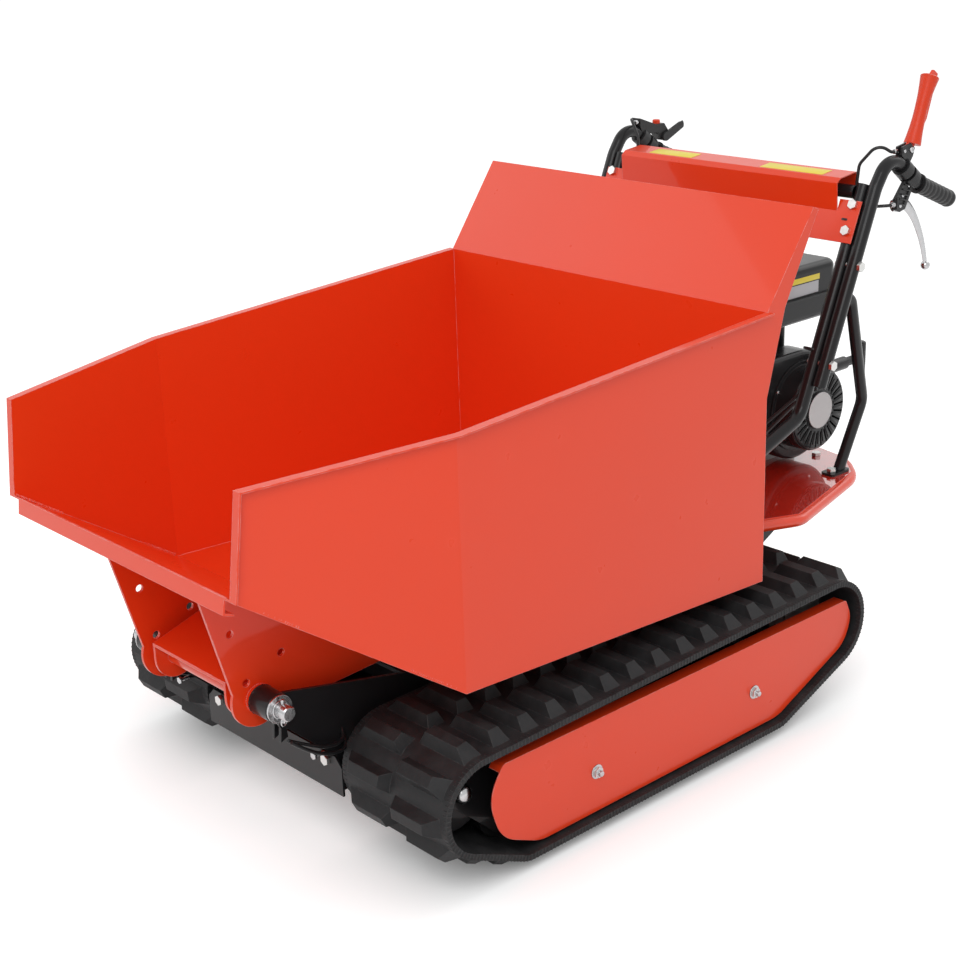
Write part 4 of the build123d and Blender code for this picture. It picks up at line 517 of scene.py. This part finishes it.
class CARRIER_OT_belt_ribs(bpy.types.Operator):
    """Fine ribs moulded across both edges of each belt"""
    bl_idname = "carrier.belt_ribs"
    bl_label = "Belt ribs"

    def execute(self, context):
        pitch = context.scene.carrier_sizes.rib_pitch * 1000.0
        normals, circles = [], [(y, z, r + 5.0) for y, z, r in BELT_CIRCLES]
        for index, (y, z, r) in enumerate(circles):
            y2, z2, r2 = circles[(index + 1) % 4]
            heading = math.degrees(math.atan2(z2 - z, y2 - y))
            normals.append(heading - math.degrees(math.acos((r - r2) / math.hypot(y2 - y, z2 - z))))
        stations = []
        for index, (y, z, r) in enumerate(circles):
            turn = (normals[index] - normals[index - 1]) % 360.0
            count = max(1, round(math.radians(turn) * r / pitch))
            for step in range(count):
                angle = math.radians(normals[index - 1] + turn * step / count)
                stations.append((y + r * math.cos(angle), z + r * math.sin(angle), angle))
            angle = math.radians(normals[index])
            y2, z2, r2 = circles[(index + 1) % 4]
            start = (y + r * math.cos(angle), z + r * math.sin(angle))
            end = (y2 + r2 * math.cos(angle), z2 + r2 * math.sin(angle))
            count = max(1, round(math.dist(start, end) / pitch))
            for step in range(count):
                share = step / count
                stations.append((*(a + (b - a) * share for a, b in zip(start, end)), angle))
        rib = bmesh.new()
        bmesh.ops.create_cube(rib, size=1.0, matrix=Matrix.Diagonal((0.009, 0.0024, 0.0112, 1.0)))
        top = [edge for edge in rib.edges if abs(edge.verts[0].co.x - edge.verts[1].co.x) > 0.001]
        bmesh.ops.bevel(rib, geom=top, offset=0.0008, affect="EDGES", segments=1, profile=0.5, material=-1)
        rib = kept(rib)
        for name, side in SIDES.items():
            ribs = bmesh.new()
            for edge in (-1, 1):
                x = side * TRACK_X + edge * (BELT_HALF - 4.0)
                for y, z, angle in stations:
                    turn = Matrix.Rotation(angle - math.pi / 2, 4, "X")
                    stamp(ribs, rib, Matrix.Translation(mm(x, y, z)) @ turn)
            piece(f"BeltRibs_{name}", ribs, "track_rubber")
        bpy.data.meshes.remove(rib)
        return {"FINISHED"}


class CARRIER_OT_cover_nuts(bpy.types.Operator):
    """Washers, nuts' collars and threaded ends on the track covers"""
    bl_idname = "carrier.cover_nuts"
    bl_label = "Cover nuts"

    def execute(self, context):
        nuts = bmesh.new()
        for side in SIDES.values():
            for x, y, z in COVER_BOLTS:
                out = (side, 0, 0)
                drum(nuts, (side * (x + 0.2), y, z), out, 12.5, 1.6, 0.4)
                drum(nuts, (side * (x + 6.6), y, z), out, 8.0, 1.2, 0.5, tip=6.0)
                for turn in range(5):
                    drum(nuts, (side * (x + 7.6 + 1.1 * turn), y, z), out, 4.7, 1.0, 0.3, 20)
        piece("CoverNuts", nuts, "polished_steel")
        return {"FINISHED"}


class CARRIER_OT_axle_domes(bpy.types.Operator):
    """Domed caps on the outer ends of the track axles"""
    bl_idname = "carrier.axle_domes"
    bl_label = "Axle domes"

    def execute(self, context):
        domes = bmesh.new()
        for side in SIDES.values():
            for y, z in ((-494.0, 150.0), (-399.0, 74.0), (-94.0, 74.0), (211.0, 74.0)):
                profile = [(16.0, 0.0), (16.0, 5.0), (14.8, 9.0), (11.5, 12.5), (6.5, 14.8), (0.0, 15.6)]
                lathe(domes, (side * 380.0, y, z), (side, 0, 0), [(0.0, 0.0)] + profile)
        piece("AxleDomes", domes, "polished_steel")
        return {"FINISHED"}


class CARRIER_OT_pivot_fittings(bpy.types.Operator):
    """Split rings through the pivot pin, weld beads round its bosses and the cable hook loops"""
    bl_idname = "carrier.pivot_fittings"
    bl_label = "Pivot fittings"

    def execute(self, context):
        pitch = context.scene.carrier_sizes.weld_pitch * 1000.0
        wires, loops, black_beads, red_beads = (bmesh.new() for _ in range(4))
        y, z = PIVOT
        for side in SIDES.values():
            ring(wires, (side * 196.5, y, z - 17.0), (1, 0.4, 0), 7.5, 1.3)
            ring(wires, (side * 189.2, y, z), (side, 0, 0), 13.6, 1.4)
            for radius, x, beads in ((23.0, 140.0, black_beads), (22.5, 131.5, red_beads)):
                steps = int(math.tau * radius / pitch)
                for step in range(steps):
                    angle = math.tau * step / steps
                    size = 1.9 + 0.35 * math.sin(3.1 * step)
                    place = (side * x, y + radius * math.cos(angle), z + radius * math.sin(angle))
                    ball(beads, place, size, rings=5)
            for shift in (0.0, 9.0):
                bent(loops, [
                    (side * (178.0 + shift), -668.0, 232.0), (side * (183.0 + shift), -640.0, 216.0 - shift),
                    (side * (188.0 + shift), -605.0, 200.0 - shift), (side * (186.0 + shift), -572.0, 196.0 - shift),
                    (side * (176.0 + shift / 2), -560.0, 204.0 - shift), (side * 168.0, -558.0, 212.0 - shift),
                ], 3.2)
            drum(wires, (side * 190.0, -628.0, 196.0), (0, -1, 0), 6.5, 5.0, 0.8, 6)
            drum(wires, (side * 190.0, -628.0, 196.0), (0, 1, 0), 3.4, 16.0, 0.3, 16)
        piece("PivotRings", wires, "polished_steel")
        piece("HookLoops", loops, "black_paint")
        piece("BossBeads", black_beads, "black_paint")
        piece("GussetBeads", red_beads, "red_paint", "bed")
        return {"FINISHED"}


class CARRIER_OT_bed_welds(bpy.types.Operator):
    """Weld beads inside the bed's lower corners and on its gussets"""
    bl_idname = "carrier.bed_welds"
    bl_label = "Bed welds"

    def execute(self, context):
        pitch = context.scene.carrier_sizes.weld_pitch * 1000.0
        beads = bmesh.new()
        for side in SIDES.values():
            weld(beads, (side * 306.5, -829.0, 559.0), (side * 331.0, -740.0, 497.0), 2.6, pitch)
            weld(beads, (side * 374.0, -575.0, 386.5), (side * 393.0, -496.0, 333.0), 2.2, pitch)
            weld(beads, (side * 393.2, 150.0, 301.5), (side * 393.2, 200.0, 299.5), 2.2, pitch)
            weld(beads, (side * 393.2, 203.2, 302.0), (side * 393.2, 203.2, 352.0), 2.2, pitch)
            weld(beads, (side * 131.0, -770.0, 510.0), (side * 131.0, -700.0, 464.0), 2.4, pitch)
            weld(beads, (side * 131.0, -600.0, 396.0), (side * 131.0, -520.0, 344.0), 2.4, pitch)
        piece("BedWelds", beads, "red_paint", "bed")
        return {"FINISHED"}


class CARRIER_OT_recoil_trim(bpy.types.Operator):
    """Bare badge disc, cover screws and cooling ribs of the recoil starter"""
    bl_idname = "carrier.recoil_trim"
    bl_label = "Recoil trim"

    def execute(self, context):
        radius = context.scene.carrier_sizes.badge_radius * 1000.0
        y, z = CRANK
        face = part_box("recoil_cover")[1].x * 1000.0
        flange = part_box("recoil_cover")[0].x * 1000.0 + 4.0
        badge, screws, ribs = bmesh.new(), bmesh.new(), bmesh.new()
        lathe(badge, (face, y, z), (1, 0, 0), [(0.0, 0.0), (radius, 0.0), (radius, 0.5), (radius - 1.2, 1.1),
                                               (radius - 3.0, 0.7), (radius - 4.0, 0.6), (0.0, 0.9)], 64)
        for turn in (20.0, 70.0, 150.0, 215.0, 290.0, 335.0):
            angle = math.radians(turn)
            place = (flange, y + 87.0 * math.cos(angle), z + 87.0 * math.sin(angle))
            screw(screws, place, (1, 0, 0), 3.8, 3.0)
        for step in range(26):
            angle = math.tau * (step + 0.5) / 26
            turn = Matrix.Rotation(angle, 4, "X")
            middle = Matrix.Translation(mm(0, 56.5, 0))
            local = bmesh.new()
            bmesh.ops.create_cube(local, size=1.0, matrix=Matrix.Diagonal((0.0022, 0.027, 0.0052, 1.0)))
            bmesh.ops.bevel(local, geom=local.edges[:], offset=0.0009, affect="EDGES", segments=2, profile=0.5,
                            material=-1)
            rib = kept(local)
            stamp(ribs, rib, Matrix.Translation(mm(face - 2.2, y, z)) @ turn @ middle)
            bpy.data.meshes.remove(rib)
        piece("RecoilBadge", badge, "badge_silver")
        piece("RecoilScrews", screws, "polished_steel")
        piece("RecoilRibs", ribs, "engine_black")
        return {"FINISHED"}


class CARRIER_OT_grips(bpy.types.Operator):
    """Hand grips with a collar, rounded ribs and a domed end"""
    bl_idname = "carrier.grips"
    bl_label = "Grips"

    def execute(self, context):
        count = context.scene.carrier_sizes.grip_ribs
        heading = Vector((0.0, math.cos(GRIP_ANGLE), -math.sin(GRIP_ANGLE)))
        profile = [(12.6, 0.0), (18.6, 0.0), (19.0, 1.2), (19.0, 4.2), (18.2, 5.6), (15.0, 7.0)]
        for rib in range(count):
            start = 9.0 + rib * 95.0 / count
            step = 95.0 / count
            profile += [(15.2, start), (16.3, start + 0.14 * step), (16.6, start + 0.4 * step),
                        (16.3, start + 0.68 * step), (15.2, start + 0.82 * step)]
        profile += [(15.4, 106.0), (16.6, 108.0), (16.7, 112.0), (15.6, 115.6), (13.0, 117.6), (8.0, 118.4), (0.0, 118.6)]
        for name, side in SIDES.items():
            grip = bmesh.new()
            start = Vector((side * BAR_X, *GRIP_END)) - heading * GRIP_LENGTH
            lathe(grip, start, heading, profile, 48)
            made = piece(f"Grip_{name}", grip, "grip_rubber", crease=50.0)
            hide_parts(f"grip_{name}")
        return {"FINISHED"}


class CARRIER_OT_brake_levers(bpy.types.Operator):
    """Curved, tapering brake levers with a ball at the end"""
    bl_idname = "carrier.brake_levers"
    bl_label = "Brake levers"

    def execute(self, context):
        y, z = BRAKE_PIVOT
        offsets = ((-10.0, 0.0), (6.0, 3.0), (30.0, 0.0), (62.0, -30.0), (88.0, -74.0), (101.0, -108.0), (106.0, -126.0))
        for name, side in SIDES.items():
            x = side * (BAR_X - 7.3)
            lever = bmesh.new()
            bent(lever, [(x, y + dy, z + dz) for dy, dz in offsets], 9.0, (1.25, 1.3, 1.2, 0.95, 0.8, 0.66, 0.6),
                 (0.5, x))
            drum(lever, (x - 4.2, y, z), (1, 0, 0), 12.2, 8.4, 1.4)
            ball(lever, (x, y + 107.0, z - 131.0), 9.0, rings=14)
            start = x - side * 4.6
            drum(lever, (start, y, z), (side, 0, 0), 3.9, 16.6, 0.4, 20)
            drum(lever, (start, y, z), (-side, 0, 0), 6.4, 2.6, 0.9, 24)
            made = piece(f"BrakeLever_{name}", lever, "polished_steel", f"brake_lever_{name}", 50.0)
            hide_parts(f"brake_lever_{name}")
        return {"FINISHED"}


class CARRIER_OT_lever_sleeve(bpy.types.Operator):
    """Tapered plastic handle over the clutch lever"""
    bl_idname = "carrier.lever_sleeve"
    bl_label = "Lever sleeve"

    def execute(self, context):
        y, z = CLUTCH_PIVOT
        offsets = ((12.0, 8.0), (18.0, 24.0), (28.0, 50.0), (38.0, 78.0), (48.0, 103.0), (57.0, 124.0))
        sleeve = bmesh.new()
        bent(sleeve, [(BAR_X, y + dy, z + dz) for dy, dz in offsets], 12.0, (1.36, 1.16, 1.0, 1.0, 1.16, 1.46))
        ball(sleeve, (BAR_X, y + 57.0, z + 123.6), 17.4, (1.0, 1.0, 0.3), Matrix.Rotation(math.radians(-24), 4, "X"))
        piece("LeverSleeve", sleeve, "red_plastic", "clutch_lever", 60.0)
        return {"FINISHED"}


class CARRIER_OT_control_trim(bpy.types.Operator):
    """Screws, ribs, cable adjusters, ferrules and the throttle's knob on the handlebars"""
    bl_idname = "carrier.control_trim"
    bl_label = "Control trim"

    def execute(self, context):
        screws, ribs, metal, knob = (bmesh.new() for _ in range(4))
        y, z = BRAKE_PIVOT
        for side in SIDES.values():
            x = side * (BAR_X + 3.0)
            for dy, dz in ((24.0, 34.0), (6.0, 18.0)):
                screw(screws, (x, y + dy, z + dz), (side, 0, 0), 3.6, 2.4)
            for step in range(5):
                block(ribs, (side * (BAR_X + 4.6), y + 2.0 + 5.0 * step, z + 2.0 + 8.2 * step), (4.0, 26.0, 2.6), 0.7,
                      Matrix.Rotation(math.radians(-14), 4, "X"))
            block(ribs, (side * (BAR_X + 3.4), y - 11.0, z + 6.0), (5.0, 5.0, 22.0), 1.0)
            block(ribs, (side * (BAR_X + 3.4), y + 24.0, z + 20.0), (5.0, 5.0, 46.0), 1.0,
                  Matrix.Rotation(math.radians(-32), 4, "X"))
            start = (side * BAR_X, y - 15.0, z + 4.0)
            for turn in range(4):
                drum(metal, (start[0], start[1] - 1.0 - 2.6 * turn, start[2]), (0, -1, 0), 5.2 - 0.3 * turn, 2.0, 0.5, 20)
            drum(metal, (side * (BAR_X - 5.3), CLUTCH_PIVOT[0] - 28.0, CLUTCH_PIVOT[1]), (0, -1, 0), 4.6, 9.0, 0.8, 20)
        ear = BAR_X + 7.3
        screw(screws, (ear, *CLUTCH_PIVOT), (1, 0, 0), 6.0, 3.6)
        screw(screws, (2 * BAR_X - ear, *CLUTCH_PIVOT), (-1, 0, 0), 6.0, 3.6)
        screw(screws, (ear, CLUTCH_PIVOT[0] - 21.0, CLUTCH_PIVOT[1]), (1, 0, 0), 3.4, 2.4)
        screw(screws, (-BAR_X - 12.0, CLUTCH_PIVOT[0] + 4.0, 962.0), (-1, 0, 0), 3.4, 2.4)
        x = -BAR_X + 15.6
        bent(knob, [(x, 754.0, 954.0), (x, 768.0, 960.0), (x, 788.0, 962.5)], 6.5, (0.7, 1.0, 1.15), (0.46, x))
        piece("ControlScrews", screws, "polished_steel")
        piece("PerchRibs", ribs, "black_plastic")
        piece("CableAdjusters", metal, "polished_steel")
        piece("ThrottleKnob", knob, "black_plastic", "throttle_lever", crease=60.0)
        return {"FINISHED"}


class CARRIER_OT_cable_ties(bpy.types.Operator):
    """Ties that hold the control cables on the risers"""
    bl_idname = "carrier.cable_ties"
    bl_label = "Cable ties"

    def execute(self, context):
        ties = bmesh.new()
        back = Vector((0.0, 1.0, -0.424)).normalized()
        up = Vector((0.0, 0.424, 1.0)).normalized()
        for side in SIDES.values():
            for z in (862.0, 640.0):
                middle = Vector((side * 289.0, riser_y(z), z)) + back * 16.0
                local = bmesh.new()
                profile = [(14.6, -2.0), (15.6, -2.0), (15.6, 2.0), (14.6, 2.0), (14.6, -2.0)]
                lathe(local, (0, 0, 0), (0, 0, 1), profile, 40)
                band = kept(local)
                stretch = Matrix.Diagonal((1.55, 2.05, 1.0, 1.0))
                turn = up.to_track_quat("Z", "Y").to_matrix().to_4x4()
                stamp(ties, band, Matrix.Translation(mm(*middle)) @ turn @ stretch)
                bpy.data.meshes.remove(band)
        piece("CableTies", ties, "black_plastic")
        return {"FINISHED"}


class CARRIER_OT_patches(bpy.types.Operator):
    """Plain patches on the cowling and the fuel tank"""
    bl_idname = "carrier.patches"
    bl_label = "Patches"

    def execute(self, context):
        yellow, grey = bmesh.new(), bmesh.new()
        slope = Matrix.Rotation(math.atan2(5.0, 45.0), 4, "X")
        for centre, width in ((-150.0, 112.0), (150.0, 146.0)):
            block(yellow, (centre, 585.0, 941.3), (width, 31.0, 0.5), 0.2, slope)
        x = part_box("fuel_tank")[1].x * 1000.0 - 5.0
        block(yellow, (x, 606.0, 722.0), (0.6, 128.0, 11.0), 0.2)
        block(grey, (x, 612.0, 703.0), (0.6, 110.0, 23.0), 0.2)
        piece("YellowPatches", yellow, "yellow_patch")
        piece("GreyPatch", grey, "grey_patch")
        return {"FINISHED"}


class CARRIER_OT_engine_trim(bpy.types.Operator):
    """Carburettor fittings, hoses, muffler guard and the engine's plugs and bolts"""
    bl_idname = "carrier.engine_trim"
    bl_label = "Engine trim"

    def execute(self, context):
        metal, hoses, shell = bmesh.new(), bmesh.new(), bmesh.new()
        # Carburettor: bowl, lever plate, rods and screws, seen between the tank and the blower
        drum(metal, (75.0, 525.0, 590.0), (0, 0, -1), 17.0, 16.0, 4.0)
        drum(metal, (88.0, 548.0, 618.0), (1, 0, 0), 4.0, 40.0, 0.6, 16)
        drum(metal, (99.0, 512.0, 622.0), (1, 0, 0), 9.0, 8.0, 1.0)
        block(metal, (101.0, 528.0, 630.0), (3.0, 52.0, 5.0), 0.8, Matrix.Rotation(math.radians(9), 4, "X"))
        bent(metal, [(112.0, 500.0, 606.0), (120.0, 520.0, 616.0), (118.0, 556.0, 612.0), (112.0, 590.0, 600.0)], 2.0)
        for y, z in ((508.0, 600.0), (544.0, 602.0), (530.0, 622.0)):
            screw(metal, (99.0, y, z), (1, 0, 0), 4.2, 3.4)
        bent(hoses, [(40.0, 540.0, 640.0), (58.0, 560.0, 622.0), (70.0, 556.0, 606.0), (75.0, 546.0, 602.0)], 4.0)
        bent(hoses, [(0.0, 416.0, 500.0), (-6.0, 396.0, 520.0), (-30.0, 396.0, 560.0), (-52.0, 420.0, 566.0),
                     (-60.0, 520.0, 566.0), (-50.0, 556.0, 540.0)], 3.6)
        # Crankcase: filler plugs, drain bolt and cover bolts
        for side in (-1, 1):
            drum(hoses, (40.0 * side, 690.0, 392.0), (0, 1, 0), 13.0, 10.0, 2.0, 18)
        for x in (-70.0, 0.0, 70.0):
            drum(metal, (x, 690.0, 368.0), (0, 1, 0), 6.5, 4.5, 0.6, 6)
            drum(metal, (x, 690.0, 540.0), (0, 1, 0), 6.5, 4.5, 0.6, 6)
        # Muffler guard with pressed slots
        low, high = (corner * 1000.0 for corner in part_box("muffler"))
        middle = (low + high) / 2
        block(shell, (middle.x, low.y - 7.0, middle.z + 4.0), (high.x - low.x - 10.0, 2.0, 78.0), 0.8)
        for step in range(6):
            z = middle.z - 24.0 + step * 11.0
            block(shell, (middle.x, low.y - 8.4, z), (high.x - low.x - 40.0, 2.4, 4.0), 1.0)
        drum(shell, (low.x + 22.0, middle.y, high.z - 26.0), (-1, 0, 0), 11.0, 32.0, 1.0)
        piece("EngineFittings", metal, "polished_steel")
        piece("EngineHoses", hoses, "black_plastic")
        piece("MufflerGuard", shell, "zinc_steel")
        return {"FINISHED"}


class CARRIER_OT_stay_knobs(bpy.types.Operator):
    """Knobs and washers where the stays meet the risers"""
    bl_idname = "carrier.stay_knobs"
    bl_label = "Stay knobs"

    def execute(self, context):
        knobs = bmesh.new()
        back = Vector((0.0, 1.0, -0.424)).normalized()
        for side in SIDES.values():
            start = Vector((side * 300.0, riser_y(738.0), 738.0)) + back * 52.0
            drum(knobs, start, back, 9.0, 2.0, 0.5)
            drum(knobs, start + back * 2.0, back, 7.6, 6.0, 0.8, 6)
            drum(knobs, start + back * 8.0, back, 4.0, 7.0, 0.6, 16)
        piece("StayKnobs", knobs, "polished_steel")
        return {"FINISHED"}


class CARRIER_OT_stage(bpy.types.Operator):
    """Pale floor with a painted contact shadow in its glow, soft lights, surroundings and the camera"""
    bl_idname = "carrier.stage"
    bl_label = "Stage"

    def execute(self, context):
        bm = bmesh.new()
        bmesh.ops.create_grid(bm, x_segments=1, y_segments=1, size=30.0)
        mesh = bpy.data.meshes.new("Floor")
        bm.to_mesh(mesh)
        bm.free()
        floor = bpy.data.objects.new("Floor", mesh)
        context.scene.collection.objects.link(floor)
        look = Finish("FloorLook", (0.8, 0.8, 0.8), Roughness=0.9, Specular_IOR_Level=0.0)
        seen = look.node("ShaderNodeLightPath", output="Is Camera Ray")
        glossy = look.node("ShaderNodeLightPath", output="Is Glossy Ray")
        # Painted shadow: the floor's glow for camera and glossy rays is dimmed by ambient occlusion close to the
        # machine, which paints a dark contact shadow under it
        painted_shadow_ao = look.node("ShaderNodeAmbientOcclusion", {"samples": 12}, {"Distance": 0.3}, "AO")
        strength = (seen + glossy) * (painted_shadow_ao * 0.52 + 0.06)
        glow = look.node("ShaderNodeEmission", None, {"Color": WHITE, "Strength": strength})
        both = {0: Calc(look, look.shader.outputs[0]), 1: glow}
        total = look.node("ShaderNodeAddShader", None, both)
        look.feed(look.tree.nodes["Material Output"].inputs["Surface"], total)
        mesh.materials.append(look.material)

        world = bpy.data.worlds.new("Studio")
        world.use_nodes = True
        context.scene.world = world
        tree = world.node_tree
        paths = tree.nodes.new("ShaderNodeLightPath")
        shown = paths.outputs["Is Camera Ray"]
        for name in ("Is Glossy Ray", "Is Transmission Ray"):
            most = tree.nodes.new("ShaderNodeMath")
            most.operation = "MAXIMUM"
            tree.links.new(shown, most.inputs[0])
            tree.links.new(paths.outputs[name], most.inputs[1])
            shown = most.outputs[0]
        level = tree.nodes.new("ShaderNodeMapRange")
        level.inputs["To Min"].default_value = 0.62
        level.inputs["To Max"].default_value = 1.0
        tree.links.new(shown, level.inputs["Value"])
        back = tree.nodes["Background"]
        back.inputs["Color"].default_value = WHITE
        tree.links.new(level.outputs[0], back.inputs["Strength"])

        for name, place, size, power in (
            ("Key", (2.4, -2.6, 3.4), 2.6, 70.0),
            ("Fill", (-3.2, -1.6, 2.6), 2.6, 22.0),
            ("Back", (0.5, 3.2, 3.0), 2.4, 24.0),
        ):
            lamp = bpy.data.lights.new(name, "AREA")
            lamp.size, lamp.energy = size, power
            light = bpy.data.objects.new(name, lamp)
            light.location = place
            aim = Vector((0.0, 0.0, 0.4)) - Vector(place)
            light.rotation_euler = aim.to_track_quat("-Z", "Y").to_euler()
            context.scene.collection.objects.link(light)

        eye = bpy.data.cameras.new("Camera")
        eye.sensor_width = 36.0
        eye.lens = 1730.66 / 960.0 * eye.sensor_width
        eye.clip_end = 100.0
        camera = bpy.data.objects.new("Camera", eye)
        right = Vector((0.67117, 0.74059, -0.03250)).normalized()
        forward = Vector((-0.70526, 0.62443, -0.33570)).normalized()
        up = right.cross(forward).normalized()
        turn = Matrix((right, up, -forward)).transposed().to_4x4()
        camera.matrix_world = Matrix.Translation((2.1694, -2.0171, 1.4985)) @ turn
        context.scene.collection.objects.link(camera)
        context.scene.camera = camera
        context.scene.view_settings.view_transform = "Standard"
        return {"FINISHED"}


class CARRIER_PT_panel(bpy.types.Panel):
    """The carrier's sizes, colours and pieces"""
    bl_idname = "CARRIER_PT_panel"
    bl_label = "Tracked power carrier"
    bl_space_type = "VIEW_3D"
    bl_region_type = "UI"
    bl_category = "Carrier"

    def draw(self, context):
        for group in (context.scene.carrier_colours, context.scene.carrier_sizes):
            for name in group.__annotations__:
                self.layout.prop(group, name)
        for operator in OPERATORS:
            self.layout.operator(operator.bl_idname)


OPERATORS = (
    CARRIER_OT_finishes, CARRIER_OT_belt_ribs, CARRIER_OT_cover_nuts, CARRIER_OT_axle_domes,
    CARRIER_OT_pivot_fittings, CARRIER_OT_bed_welds, CARRIER_OT_recoil_trim, CARRIER_OT_grips,
    CARRIER_OT_brake_levers, CARRIER_OT_lever_sleeve, CARRIER_OT_control_trim, CARRIER_OT_cable_ties,
    CARRIER_OT_patches, CARRIER_OT_engine_trim, CARRIER_OT_stay_knobs, CARRIER_OT_stage,
)
CLASSES = (CarrierColours, CarrierSizes, *OPERATORS, CARRIER_PT_panel)


def register():
    for each in CLASSES:
        bpy.utils.register_class(each)
    bpy.types.Scene.carrier_colours = bpy.props.PointerProperty(type=CarrierColours)
    bpy.types.Scene.carrier_sizes = bpy.props.PointerProperty(type=CarrierSizes)


def unregister():
    del bpy.types.Scene.carrier_sizes
    del bpy.types.Scene.carrier_colours
    for each in reversed(CLASSES):
        bpy.utils.unregister_class(each)


def main():
    register()
    for operator in OPERATORS:
        getattr(bpy.ops.carrier, operator.bl_idname.split(".")[1])()


if __name__ == "__main__":
    main()
